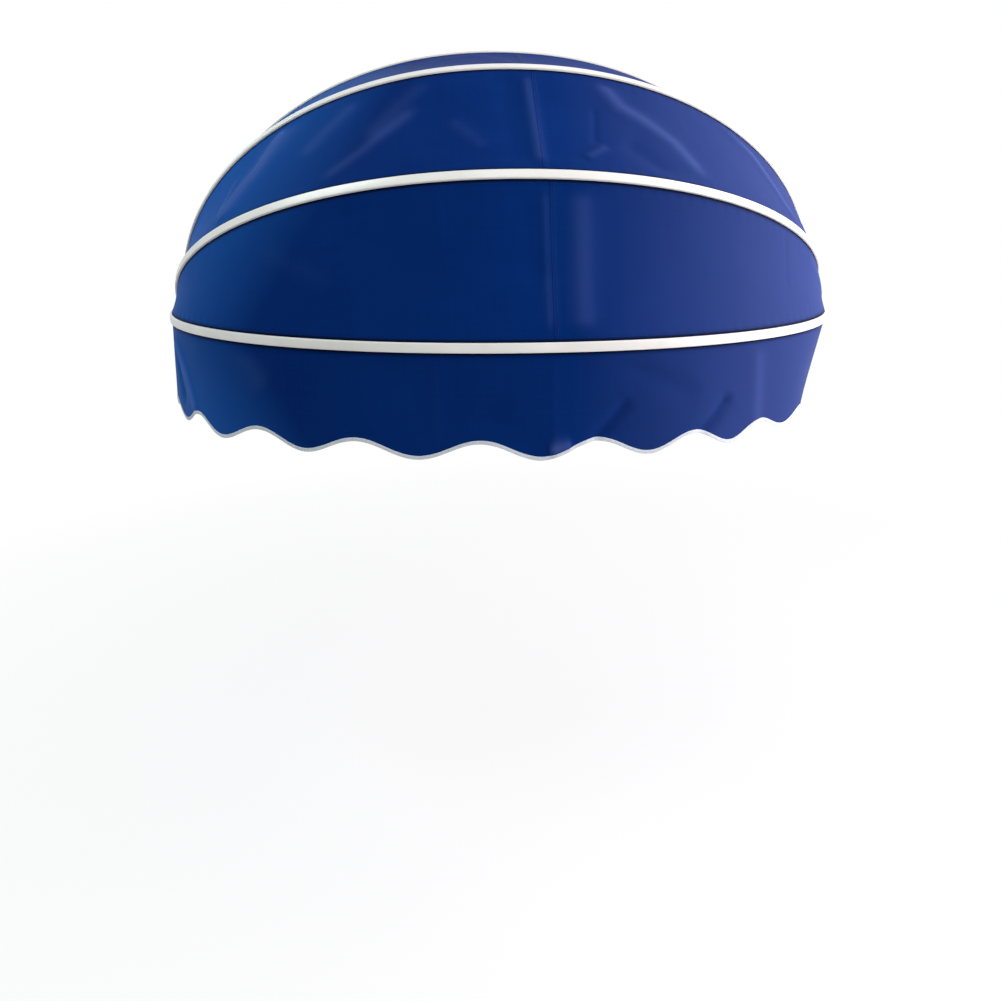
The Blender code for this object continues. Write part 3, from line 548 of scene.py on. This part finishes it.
def profileSection(rank):
    half = profile["widths"][rank] / 2
    domeHalf, domeRise = half * profile["domeShare"], profile["domeRise"]
    right = []
    for k in range(profile["domeSteps"] + 1):      # domed cap, falling to the rounded edge
        share = k / profile["domeSteps"]
        right.append((domeRise * share ** 2, domeHalf * share))
    for k in range(1, profile["edgeSteps"] + 1):
        turn = math.pi / 2 * k / profile["edgeSteps"]
        fall = (profile["lipDepth"] - domeRise) * (1 - math.cos(turn))
        right.append((domeRise + fall, domeHalf + (half - domeHalf) * math.sin(turn)))
    edge = half - profile["lipWidth"]
    right.append((profile["lipDepth"] + profile["lipReturn"], edge + profile["lipReturn"]))
    radius = profile["bore"] / 2
    for k in range(profile["boreSteps"] + 1):
        opening = profile["boreOpenDeg"]
        turn = math.radians(-opening - (360 - 2 * opening) * k / profile["boreSteps"])
        right.append((beadDepth + radius * math.sin(turn), beadLine(rank) + radius * math.cos(turn)))
    slotEnd = profile["lipDepth"] + profile["slot"]
    for below, inset in profile["lowerLip"]:
        right.append((slotEnd + below, half - inset))
    for above, inset in profile["heel"]:
        right.append((profile["depth"] - above, half - inset))
    rise, spread = profile["footRound"]
    right.append((profile["depth"] - rise, profile["foot"] / 2 + spread))
    right.append((profile["depth"], profile["foot"] / 2))
    left = [(d, -x) for d, x in reversed(right[1:])]
    return right + left


def outline(name, points, closed, dimensions):
    curve = bpy.data.curves.new(name, 'CURVE')
    curve.dimensions = dimensions
    spline = curve.splines.new('POLY')
    spline.points.add(len(points) - 1)
    for slot, point in zip(spline.points, points):
        slot.co = (point[0], point[1], 0, 1)
    spline.use_cyclic_u = closed
    return link(name, curve)


def buildHoop(rank):
    name = hoops["names"][rank]
    rail, inward = railAt(rank, np.linspace(0, legs, legs * hoops["perLeg"] + 1))
    section = outline("section", [(-d, x) for d, x in profileSection(rank)], True, '2D')
    piece = outline(name + "_profile", rail.tolist(), False, '3D')
    piece.data.twist_mode = 'Z_UP'
    piece.data.bevel_mode = 'OBJECT'
    piece.data.bevel_object = section
    piece.data.use_fill_caps = True
    bpy.ops.object.select_all(action='DESELECT')
    piece.select_set(True)
    bpy.context.view_layer.objects.active = piece
    bpy.ops.object.convert(target='MESH')
    piece = bpy.context.object
    bpy.data.objects.remove(section, do_unlink=True)
    piece.rotation_euler = (-hoopAngle(rank), 0, 0)
    piece.location = (0, -hoops["standoff"], 0)
    bpy.ops.object.transform_apply(location=True, rotation=True, scale=True)
    bpy.ops.object.mode_set(mode='EDIT')
    bpy.ops.mesh.select_all(action='SELECT')
    bpy.ops.mesh.remove_doubles(threshold=0.00001)
    bpy.ops.mesh.normals_make_consistent(inside=False)
    bpy.ops.object.mode_set(mode='OBJECT')
    bpy.ops.object.shade_smooth_by_angle(angle=math.radians(40))
    piece.data.materials.append(hardMaterials["whiteProfile"])
    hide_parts(name)
    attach(piece, hoops["bodies"][rank])
    return piece


hoopPieces = [buildHoop(rank) for rank in range(frontRank + 1)]
print("hoops swept:", [len(p.data.polygons) for p in hoopPieces])


# fabric gores
gore = {
    "names": ["canopy_rear", "canopy_middle", "canopy_front"],
    "thickness": 0.0009,
    "exit": 0.0015,
    "sag": 0.006,
    "sagSpan": 0.2,
    "endGap": 0.004,
    "rows": 66,
    "perLeg": 15,
    "hemAt": 0.015,
    "hemStep": 0.0005,
    "lapWidth": 0.012,
    "undulation": 0.0022,
    "cloudScales": (4.2, 13.0),
    "fineShare": 0.35,
    "pucker": 0.0007,
    "shadeWidth": 0.0055,
    "foldLightHeight": 0.008,
    "stationGap": 0.02,
    "beadWrap": (0.001, 0.012),
    "edgeTurn": 0.002,
    "edgeBand": 0.007,
    "usualSpan": 0.41,
    "nearEdge": [0.0, 0.003, 0.008, 0.0145, 0.0150, 0.0155, 0.022],
    "edgeFade": (0.004, 0.05),
    "endFade": 1.5,
    "rippleLength": 0.036,
    "rippleReach": 0.020,
    "lapStep": 0.0006,
    "lapTail": (0.008, 0.012),
    "lapSewing": (-0.0042, 0.0042),
    "stitch": {"length": 0.0033, "width": 0.0008, "height": 0.00035},
    "stitchPitch": {"lap": 0.0042, "hem": 0.0046},
}
seams = [13.85, 13.90, 14.0]      # where two widths of cloth are lapped, by station
creases = {                       # soft folds: points as (station, share), height, width
    0: [([(12.8, 0.1), (13.9, 0.9)], 0.0015, 0.030),
        ([(7.0, 0.2), (9.0, 0.8)], 0.0020, 0.040)],
    1: [([(7.95, 0.05), (7.03, 0.46), (6.0, 0.77), (5.6, 0.95)], 0.0100, 0.0075),
        ([(8.3, 0.00), (6.9, 0.45), (5.7, 0.90)], 0.0060, 0.045),
        ([(6.2, 0.35), (5.68, 0.77)], 0.0030, 0.012),
        ([(11.3, 0.35), (10.08, 0.68), (9.15, 0.90)], 0.0042, 0.022),
        ([(9.9, 0.12), (8.5, 0.53)], 0.0040, 0.028),
        ([(11.6, 0.06), (10.18, 0.53)], 0.0030, 0.030),
        ([(12.1, 0.50), (12.78, 0.78)], 0.0026, 0.024),
        ([(13.73, 0.00), (13.83, 1.00)], 0.0045, 0.016),
        ([(13.3, 0.00), (13.35, 1.00)], -0.0030, 0.030),
        ([(15.15, 0.36), (15.03, 0.70)], -0.0030, 0.008),
        ([(14.8, 0.86), (15.25, 0.74)], 0.0040, 0.012),
        ([(15.3, 0.03), (15.78, 0.29), (16.35, 0.40), (17.03, 0.57), (17.6, 0.88)], 0.0056, 0.028),
        ([(15.8, 0.66), (16.8, 0.98)], -0.0050, 0.034),
        ([(18.95, 0.06), (20.0, 0.20), (20.9, 0.46), (21.6, 0.88)], 0.0064, 0.017),
        ([(22.4, 0.10), (23.6, 0.90)], 0.0040, 0.030)],
    2: [([(13.85, 0.00), (13.88, 1.00)], 0.0030, 0.012),
        ([(13.45, 0.00), (13.6, 0.60)], -0.0030, 0.025),
        ([(14.6, 0.00), (14.55, 1.00)], 0.0040, 0.034),
        ([(20.55, 0.06), (20.43, 0.62)], -0.0012, 0.007),
        ([(22.15, 0.05), (23.8, 0.30), (25.0, 0.60)], 0.0060, 0.030),
        ([(9.3, 0.02), (11.73, 0.65)], -0.0040, 0.070),
        ([(7.5, 0.30), (9.45, 0.62)], 0.0018, 0.030),
        ([(11.8, 0.00), (11.8, 1.00)], 0.0007, 0.010)],
}
dropCreases = [                   # on the valance: points as (station, drop)
    ([(14.75, 0.235), (15.1, 0.19), (15.5, 0.14)], -0.0080, 0.016),
    ([(17.2, 0.245), (17.7, 0.20), (18.1, 0.15)], -0.0090, 0.018),
    ([(15.15, 0.022), (17.07, 0.134)], -0.0040, 0.030),
    ([(13.9, 0.250), (14.3, 0.235)], 0.0060, 0.020),
    ([(3.0, 0.050), (3.95, 0.135), (4.5, 0.230)], 0.0100, 0.014),
    ([(2.2, 0.040), (3.4, 0.220)], -0.0080, 0.020),
    ([(18.95, 0.020), (19.2, 0.245)], 0.0040, 0.030),
    ([(12.6, 0.150), (13.7, 0.250)], -0.0040, 0.040),
    ([(6.6, 0.000), (7.6, 0.120)], 0.0030, 0.050),
    ([(11.75, 0.000), (11.73, 0.240)], 0.0012, 0.010),
    ([(14.0, 0.000), (14.0, 0.250)], 0.0012, 0.010),
]


foldEnds = {"overrun": 0.3, "fade": 0.12}       # shares of a fold's length


# a rounded ridge along a bent line, falling away to both sides and to its ends
def foldHeight(u, w, line, height, width):
    best = np.full(np.shape(u + w), 1e9)
    reach, run = np.zeros(best.shape), 0.0
    lengths = [math.hypot(b[0] - a[0], b[1] - a[1]) for a, b in zip(line, line[1:])]
    for (a, b), length in zip(zip(line, line[1:]), lengths):
        t = ((u - a[0]) * (b[0] - a[0]) + (w - a[1]) * (b[1] - a[1])) / length ** 2
        low = -foldEnds["overrun"] if run == 0.0 else 0.0
        high = 1 + foldEnds["overrun"] if run + length > sum(lengths) - 1e-9 else 1.0
        t = np.clip(t, low, high)
        away = np.hypot(u - a[0] - t * (b[0] - a[0]), w - a[1] - t * (b[1] - a[1]))
        nearer = away < best
        best = np.where(nearer, away, best)
        reach = np.where(nearer, (run + t * length) / sum(lengths), reach)
        run += length
    fade = foldEnds["fade"]
    ends = smooth((reach + fade) / (2 * fade)) * smooth((1 + fade - reach) / (2 * fade))
    return height * ends / np.cosh(best / width) ** 2


def cloudField(points, scale, seed):
    flat = points.reshape(-1, 3) * scale + np.array([seed * 7.3, seed * 3.1, seed * 5.7])
    values = [noise.noise(Vector(p)) for p in flat.tolist()]
    return np.array(values).reshape(points.shape[:-1])


def clothStations(extra):
    last = legs - gore["endGap"] / np.linalg.norm(hoopCorners(frontRank)[-1] - hoopCorners(frontRank)[-2])
    first = legs - last
    base = np.linspace(first, last, legs * gore["perLeg"] + 1)
    if len(extra):
        nearest = np.min(np.abs(base[:, None] - np.array(extra)[None, :]), axis=1)
        base = base[nearest > gore["stationGap"]]
    return np.unique(np.concatenate([base, extra, [first, last]]))


# extra columns at a lap, in millimetres from the seam
lapOffsets = [-9.0, -6.6, -6.2, -6.0, -5.6, -4.0, -2.0, 0.0,
              2.0, 4.0, 5.6, 6.0, 6.2, 6.6, 9.0, 14.0]


def lapStations(seam, arcLength):
    return seam + np.array(lapOffsets) / 1000 / arcLength


# the bead from its outer side to the cloth: place and half thickness, in millimetres
beadRows = [(-1.7, 0.35), (-1.5, 0.8), (-0.85, 1.47), (0.0, 1.7),
            (0.85, 1.47), (1.45, 0.88), (1.9, 0.45), (3.2, 0.45)]


def buildGore(rank):
    name = gore["names"][rank]
    legLength = np.linalg.norm(hoopCorners(rank)[14] - hoopCorners(rank)[13])
    stations = clothStations(lapStations(seams[rank], legLength))
    mids, halves = [], []
    thin = gore["thickness"] / 2
    for offset, half in beadRows:
        mids.append(onHoop(rank, stations, beadDepth, -(beadLine(rank) + offset / 1000)))
        halves.append(half / 1000)
    rear = onHoop(rank, stations, beadDepth, -exitLine(rank))
    front = onHoop(rank + 1, stations, beadDepth, exitLine(rank + 1))
    lineUp = front - rear
    span = np.linalg.norm(lineUp, axis=-1)
    nearShares = np.array(gore["nearEdge"]) / gore["usualSpan"]
    middle = np.linspace(nearShares[-1], 1 - nearShares[-1], gore["rows"])[1:-1]
    shares = np.concatenate([nearShares, middle, 1 - nearShares[::-1]])
    inward = []
    for hoop in (rank, rank + 1):
        inward.append(onHoop(hoop, stations, 1.0, 0.0) - onHoop(hoop, stations, 0.0, 0.0))
    inward = inward[0] + inward[1]
    inward /= np.linalg.norm(inward, axis=-1, keepdims=True)
    strip = []
    for share in shares:
        sag = gore["sag"] * 4 * share * (1 - share) * np.minimum(1.0, span / gore["sagSpan"])
        strip.append(rear + lineUp * share + inward * sag[:, None])
        mids.append(strip[-1])
        halves.append(thin)
    for offset, half in beadRows[::-1]:
        mids.append(onHoop(rank + 1, stations, beadDepth, beadLine(rank + 1) + offset / 1000))
        halves.append(half / 1000)
    grid = np.stack(mids)
    rows = grid.shape[0]
    normal = outwardNormals(grid, inward[len(stations) // 2])
    # where each point lies on the cloth, in metres
    alongU = np.interp(stations, np.arange(legs + 1), arcTable(rank))
    u = np.broadcast_to(alongU, (len(shares), len(stations)))
    w = shares[:, None] * span[None, :]
    first, lastRow = len(beadRows), rows - len(beadRows)
    area = slice(first, lastRow)
    fromEdge = np.minimum(shares, 1 - shares)[:, None] * span[None, :]
    edgeFade = smooth((fromEdge - gore["edgeFade"][0]) / gore["edgeFade"][1])
    endFade = smooth(np.minimum(stations, legs - stations) / gore["endFade"])[None, :]
    broad, fine = gore["cloudScales"]
    move = gore["undulation"] * cloudField(grid[area], broad, rank + 1.0)
    move = move + gore["undulation"] * gore["fineShare"] * cloudField(grid[area], fine, rank + 4.0)
    folds = 0 * w
    for line, height, width in creases[rank]:
        spots = [(np.interp(s, np.arange(legs + 1), arcTable(rank)),
                  v * np.interp(s, stations, span)) for s, v in line]
        folds = folds + foldHeight(u, w, spots, height, width)
    folds = folds * edgeFade * endFade
    move = move * edgeFade * endFade + folds
    wander = 3.0 * cloudField(grid[area], 5.0, rank + 9.0)
    ripple = np.sin(2 * math.pi * u / gore["rippleLength"] + wander) * np.exp(-fromEdge / gore["rippleReach"])
    move = move + gore["pucker"] * ripple * smooth((fromEdge - 0.001) / 0.006) * endFade
    step = gore["lapStep"]
    hem = gore["hemStep"] * smooth((gore["hemAt"] + step / 2 - fromEdge) / step)
    hem = hem * smooth((fromEdge - 0.0005) / 0.002)
    seamU = np.interp(seams[rank], np.arange(legs + 1), arcTable(rank))
    half = gore["lapWidth"] / 2
    lapFade = smooth((fromEdge - 0.001) / 0.004)
    tail, tailFade = gore["lapTail"]
    laps = []
    for fromSeam in (u - seamU, seamU - u):
        lap = gore["thickness"] * smooth((fromSeam + half) / step)
        laps.append(lap * smooth((half + tail - fromSeam) / tailFade) * lapFade)
    grid[area] += normal[area] * move[..., None]
    normal = outwardNormals(grid, inward[len(stations) // 2])
    halfGrid = np.broadcast_to(np.array(halves)[:, None], grid.shape[:2]).copy()
    outerHalf, innerHalf = halfGrid.copy(), halfGrid.copy()
    outerHalf[area] += laps[0]
    innerHalf[area] += hem + laps[1]
    outer = grid + normal * outerHalf[..., None]
    inner = grid - normal * innerHalf[..., None]
    near, far = gore["beadWrap"]
    acrossV = np.concatenate([np.linspace(-far, -near, first)[:, None] + 0 * span[None, :], w,
                              span[None, :] + np.linspace(near, far, first)[:, None]])
    uv = np.stack([np.broadcast_to(alongU, acrossV.shape), acrossV], -1)
    piece = twoSkins(name + "_cloth", outer, inner, uv)
    piece.data.materials.append(canopyMaterial)
    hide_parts(name)
    # sewing: two rows down the lap, one along each hem
    points, alongs, normals = [], [], []

    def sew(path, ups, pitch):
        steps = np.linalg.norm(np.diff(path, axis=0), axis=1)
        run = np.concatenate([[0.0], np.cumsum(steps)])
        marks = np.arange(pitch, run[-1] - pitch, pitch)
        spot = np.stack([np.interp(marks, run, path[:, k]) for k in range(3)], -1)
        up = np.stack([np.interp(marks, run, ups[:, k]) for k in range(3)], -1)
        ahead = np.stack([np.interp(marks + 0.001, run, path[:, k]) for k in range(3)], -1) - spot
        up /= np.linalg.norm(up, axis=-1, keepdims=True)
        ahead -= up * np.sum(ahead * up, axis=-1, keepdims=True)
        points.append(spot)
        alongs.append(ahead / np.linalg.norm(ahead, axis=-1, keepdims=True))
        normals.append(up)

    sewn = slice(first + 2, lastRow - 2)
    for offset in gore["lapSewing"]:
        column = int(np.argmin(np.abs(alongU - seamU - offset)))
        sew(outer[sewn, column], normal[sewn, column], gore["stitchPitch"]["lap"])
    for row in (first + 2, lastRow - 3):
        sew(outer[row, 6:-6], normal[row, 6:-6], gore["stitchPitch"]["hem"])
    sewing = stitchMesh(name + "_stitching", np.concatenate(points), np.concatenate(alongs),
                        np.concatenate(normals), gore["stitch"])
    sewing.data.materials.append(blueThread)
    for soft in (piece, sewing):
        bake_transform(soft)
    bead = np.zeros((first, len(stations)))
    markCloth(piece, np.concatenate([bead, fromEdge, bead]), np.concatenate([bead, folds, bead]))
    widest = float(np.max(span)) + 2 * (exitLine(rank + 1) - beadLine(rank + 1) + gore["edgeTurn"])
    columnArea = np.sum((span[1:] + span[:-1]) / 2 * np.diff(alongU)) + 2 * gore["edgeBand"] * alongU[-1]
    return piece, sewing, widest, float(alongU[-1] - alongU[0]), float(columnArea)


# how deep each point of a cloth lies in the shade of its groove, for a painted shadow there, and how high on
# a fold, for a painted highlight on crests and painted shade in valleys
def markCloth(piece, distance, folds):
    shade = np.exp(-(distance / gore["shadeWidth"]) ** 2)
    paintedFoldLight = np.clip(folds / gore["foldLightHeight"], -1.0, 1.0)
    for name, values in (("grooveShade", shade), ("foldLightPaint", paintedFoldLight * np.abs(paintedFoldLight))):
        layer = piece.data.attributes.new(name, 'FLOAT', 'POINT')
        layer.data.foreach_set("value", np.concatenate([values.ravel()] * 2).astype(np.float32))


gorePieces = [buildGore(rank) for rank in range(frontRank)]
for (piece, sewing, widest, longest, clothArea), rank in zip(gorePieces, range(frontRank)):
    print("gore", piece.name, "width %.3f length %.3f area %.3f" % (widest, longest, clothArea))
print("gores made")


# valance
valance = {
    "drop": 0.2505,
    "scallop": 0.020,
    "pitch": 0.270,
    "drift": 0.035,
    "driftLength": 1.9,
    "driftStart": -0.287,
    "wave": 0.005,
    "waveLength": 0.430,
    "lean": 0.056,
    "leanStart": 0.66,
    "tuck": 0.018,
    "tuckStart": 0.93,
    "flatShare": 0.5,
    "flatFrom": 0.69,
    "flatTo": 0.86,
    "rows": 44,
    "undulation": 0.0030,
    "bindingHeight": 0.0080,
    "bindingCloth": 0.0005,
    "seat": 0.0003,
    "dropFade": (0.014, 0.05),
    "stitch": {"length": 0.0032, "width": 0.0007, "height": 0.0003},
    "stitchPitch": 0.0045,
    "stitchMargin": 0.004,
}
facing = np.array([0.0, 1.0, 0.0])       # inwards, at the middle of the valance


def belowTop(drops):
    return smooth((drops - valance["dropFade"][0]) / valance["dropFade"][1])


def risingFrom(share, start):
    return smooth((share - start) / (1 - start))


def hemAt(arc):
    along = arc - arcTotal / 2
    turn = 2 * math.pi * (along - valance["driftStart"]) / valance["driftLength"]
    drift = valance["drift"] * np.sin(turn)
    flat = smooth((arc / arcTotal - valance["flatFrom"]) / (valance["flatTo"] - valance["flatFrom"]))
    depth = valance["scallop"] * (1 - valance["flatShare"] * flat)
    return valance["drop"] + depth * np.cos(2 * math.pi * (along - drift) / valance["pitch"])


def dropFolds(arc, drops):
    total = 0 * (arc + drops)
    for line, height, width in dropCreases:
        spots = [(float(arcAt(s)), d) for s, d in line]
        total = total + foldHeight(arc + 0 * drops, drops + 0 * arc, spots, height, width)
    return total * belowTop(drops)


# middle of the cloth at a station and a drop below the front hoop's plane
def hanging(stations, drops):
    arc = arcAt(stations)
    fall = np.maximum(0.0, (drops - profile["widths"][frontRank] / 2) / valance["drop"])
    wave = valance["wave"] * fall * np.sin(2 * math.pi * arc / valance["waveLength"])
    share = arc / arcTotal
    lean = valance["lean"] * fall * risingFrom(share, valance["leanStart"])
    lean = lean + valance["tuck"] * fall * risingFrom(share, valance["tuckStart"])
    base = onHoop(frontRank, stations, beadDepth, -drops)
    move = valance["undulation"] * cloudField(base, 5.0, 3.0) * np.minimum(1.0, fall * 1.6)
    move = move * belowTop(drops) + dropFolds(arc, drops)
    point, inwardFlat = railAt(frontRank, stations)
    depth = beadDepth + lean - wave - move
    return toFrame(frontRank, point + inwardFlat * depth[..., None], -drops)


def gridOf(stations, dropRows):
    s = np.broadcast_to(stations, dropRows.shape)
    return hanging(s, dropRows)


def buildValance():
    stations = clothStations([])
    arc = arcAt(stations)
    hem = hemAt(arc)
    rows, halves = [], []
    for offset, half in beadRows:
        rows.append(np.full_like(hem, beadLine(frontRank) + offset / 1000))
        halves.append(half / 1000)
    start = exitLine(frontRank)
    for share in np.linspace(0, 1, valance["rows"]):
        rows.append(start + (hem - start) * share)
        halves.append(gore["thickness"] / 2)
    drops = np.stack(rows)
    grid = gridOf(stations, drops)
    normal = outwardNormals(grid, facing)
    half = np.array(halves)[:, None, None]
    uv = np.stack([np.broadcast_to(arc, drops.shape), drops], -1)
    piece = twoSkins("valance_cloth", grid + normal * half, grid - normal * half, uv)
    piece.data.materials.append(canopyMaterial)
    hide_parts("valance")
    markCloth(piece, np.maximum(drops - exitLine(frontRank), 0.0), dropFolds(arc, drops))
    top = beadLine(frontRank) - gore["edgeTurn"]
    area = float(np.sum((hem[1:] + hem[:-1]) / 2 * np.diff(arc)) - top * (arc[-1] - arc[0]))
    return piece, float(hem.max() - top), float(arc[-1] - arc[0]), area


def buildBinding():
    stations = clothStations([])
    arc = arcAt(stations)
    hem = hemAt(arc)
    side = gore["thickness"] / 2 + valance["seat"] + valance["bindingCloth"] / 2
    high = valance["bindingHeight"]
    path = [(-high * share, side) for share in (1.0, 0.75, 0.5, 0.25, 0.0)]
    path += [(0.0003 + side * math.sin(t), side * math.cos(t)) for t in np.linspace(0, math.pi, 9)[1:-1]]
    path += [(d, -s) for d, s in path[4::-1]]
    edge = gridOf(stations, np.stack([hem - high, hem - high * 0.5, hem]))
    normal = outwardNormals(edge, facing)
    down = edge[2] - edge[1]
    down /= np.linalg.norm(down, axis=-1, keepdims=True)
    mids, outs = [], []
    for k, (fall, off) in enumerate(path):
        if fall <= 0:
            base = gridOf(stations, (hem + fall)[None, :])[0]
            mids.append(base + normal[1] * off)
            outs.append(normal[1] * np.sign(off))
        else:
            mids.append(edge[2] + down * fall + normal[1] * off)
            outs.append((down * (fall - 0.0003) + normal[1] * off) / side)
    grid, out = np.stack(mids), np.stack(outs)
    half = valance["bindingCloth"] / 2
    strides = [math.hypot(b[0] - a[0], b[1] - a[1]) for a, b in zip(path, path[1:])]
    run = np.concatenate([[0.0], np.cumsum(strides)])
    uv = np.stack([np.broadcast_to(arc, grid.shape[:2]),
                   np.broadcast_to(run[:, None], grid.shape[:2])], -1)
    piece = twoSkins("hem_binding_tape", grid + out * half, grid - out * half, uv)
    piece.data.materials.append(bindingMaterial)
    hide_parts("hem_binding")
    row = grid[2] + out[2] * half
    steps = np.linalg.norm(np.diff(row, axis=0), axis=1)
    runAlong = np.concatenate([[0.0], np.cumsum(steps)])
    margin = valance["stitchMargin"]
    marks = np.arange(margin, runAlong[-1] - margin, valance["stitchPitch"])

    def along(values):
        return np.stack([np.interp(marks, runAlong, values[:, k]) for k in range(3)], -1)

    spots, ups = along(row), along(normal[1])
    ahead = np.gradient(spots, axis=0)
    ahead /= np.linalg.norm(ahead, axis=-1, keepdims=True)
    sewing = stitchMesh("hem_binding_stitching", spots, ahead, ups, valance["stitch"])
    sewing.data.materials.append(paleThread)
    return piece, sewing


valancePiece, valanceDrop, valanceLength, valanceArea = buildValance()
bindingPiece, bindingSewing = buildBinding()
for piece in (valancePiece, bindingPiece, bindingSewing):
    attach(piece, "front")
    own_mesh(piece)
print("valance width %.3f length %.3f area %.3f" % (valanceDrop, valanceLength, valanceArea))


# floor, backdrop and light
def eyeRays(nodes, links):
    ray = nodes.new("ShaderNodeLightPath")
    seen = mathNode(nodes, links, 'MAXIMUM', ray.outputs["Is Camera Ray"], ray.outputs["Is Glossy Ray"])
    return mathNode(nodes, links, 'MAXIMUM', seen, ray.outputs["Is Transmission Ray"])


stage = {
    "floorHeight": -1.45,
    "floorRadius": 14.0,
    "fadeFrom": 0.9,
    "fadeTo": 3.2,
    "paper": 0.80,
    "colour": (0.72, 0.72, 0.73),
    "grain": (0.6984, 0.6984, 0.7081),
    "air": 0.02,
    "aim": (0, -0.4, 0.2),
}
bpy.ops.mesh.primitive_circle_add(vertices=96, radius=stage["floorRadius"], fill_type='NGON',
                                  location=(0, 0, stage["floorHeight"]))
floor = bpy.context.object
floor.name = "floor"
bpy.ops.object.transform_apply(location=True, rotation=False, scale=False)

material = bpy.data.materials.new("paleFloor")
material.use_nodes = True
nodes, links = material.node_tree.nodes, material.node_tree.links
shader = nodes["Principled BSDF"]
shader.inputs["Base Color"].default_value = (*stage["colour"], 1)
shader.inputs["Roughness"].default_value = 0.8
where = nodes.new("ShaderNodeTexCoord")
distance = nodes.new("ShaderNodeVectorMath")
distance.operation = 'LENGTH'
flatten = addNode(nodes, "ShaderNodeMapping", Scale=(1.0, 1.0, 0.0))
links.new(where.outputs["Object"], flatten.inputs["Vector"])
links.new(flatten.outputs[0], distance.inputs[0])
grain = addNode(nodes, "ShaderNodeTexNoise", Scale=30.0, Detail=3.0)
links.new(where.outputs["Object"], grain.inputs["Vector"])
grained = mixColour(nodes, links, grain.outputs["Fac"], stage["colour"], stage["grain"])
links.new(grained, shader.inputs["Base Color"])
paper = addNode(nodes, "ShaderNodeEmission", Color=(1, 1, 1, 1), Strength=1.0)
reach = distance.outputs["Value"]
fade = ramp(nodes, links, reach, stage["fadeFrom"], stage["fadeTo"], stage["paper"], 1.0)
factor = mathNode(nodes, links, 'MULTIPLY', fade, eyeRays(nodes, links))
blend = nodes.new("ShaderNodeMixShader")
links.new(factor, blend.inputs[0])
links.new(shader.outputs[0], blend.inputs[1])
links.new(paper.outputs[0], blend.inputs[2])
links.new(blend.outputs[0], nodes["Material Output"].inputs["Surface"])
floor.data.materials.append(material)

world = bpy.data.worlds.new("studio")
scene.world = world
world.use_nodes = True
nodes, links = world.node_tree.nodes, world.node_tree.links
ground = nodes["Background"]
ground.inputs["Color"].default_value = (0.93, 0.96, 1.0, 1)
ground.inputs["Strength"].default_value = stage["air"]
white = addNode(nodes, "ShaderNodeBackground", Color=(1, 1, 1, 1), Strength=1.0)
blend = nodes.new("ShaderNodeMixShader")
links.new(eyeRays(nodes, links), blend.inputs[0])
links.new(ground.outputs[0], blend.inputs[1])
links.new(white.outputs[0], blend.inputs[2])
links.new(blend.outputs[0], nodes["World Output"].inputs["Surface"])

lamps = [
    {"name": "rightPanel", "place": (3.8, -1.42, 1.0), "size": (3.6, 3.0),
     "power": 310, "colour": (1.0, 0.93, 0.97)},
    {"name": "skyPanel", "place": (3.2, 0.2, 2.9), "size": (2.6, 2.6),
     "power": 125, "colour": (0.98, 0.93, 1.0)},
    {"name": "topPanel", "place": (-0.4, -3.2, 3.8), "size": (3.0, 3.0),
     "power": 58, "colour": (0.93, 0.98, 1.0)},
    {"name": "frontPanel", "place": (0.2, -5.0, -0.6), "size": (3.0, 1.6),
     "power": 40, "colour": (1.0, 0.99, 0.96)},
    {"name": "leftPanel", "place": (-3.2, -1.2, 3.6), "size": (2.4, 2.4),
     "power": 160, "colour": (0.88, 0.98, 1.0)},
    {"name": "rimPanel", "place": (-1.2, 3.4, 1.9), "size": (2.6, 1.2),
     "power": 10, "colour": (0.30, 0.66, 1.0)},
]
for lamp in lamps:
    bpy.ops.object.light_add(type='AREA', location=lamp["place"])
    light = bpy.context.object
    light.name = lamp["name"]
    light.data.shape = 'RECTANGLE'
    light.data.size, light.data.size_y = lamp["size"]
    light.data.energy = lamp["power"]
    light.data.color = lamp["colour"]
    towards = Vector(stage["aim"]) - Vector(lamp["place"])
    light.rotation_euler = towards.to_track_quat('-Z', 'Y').to_euler()
print("stage and lamps set")
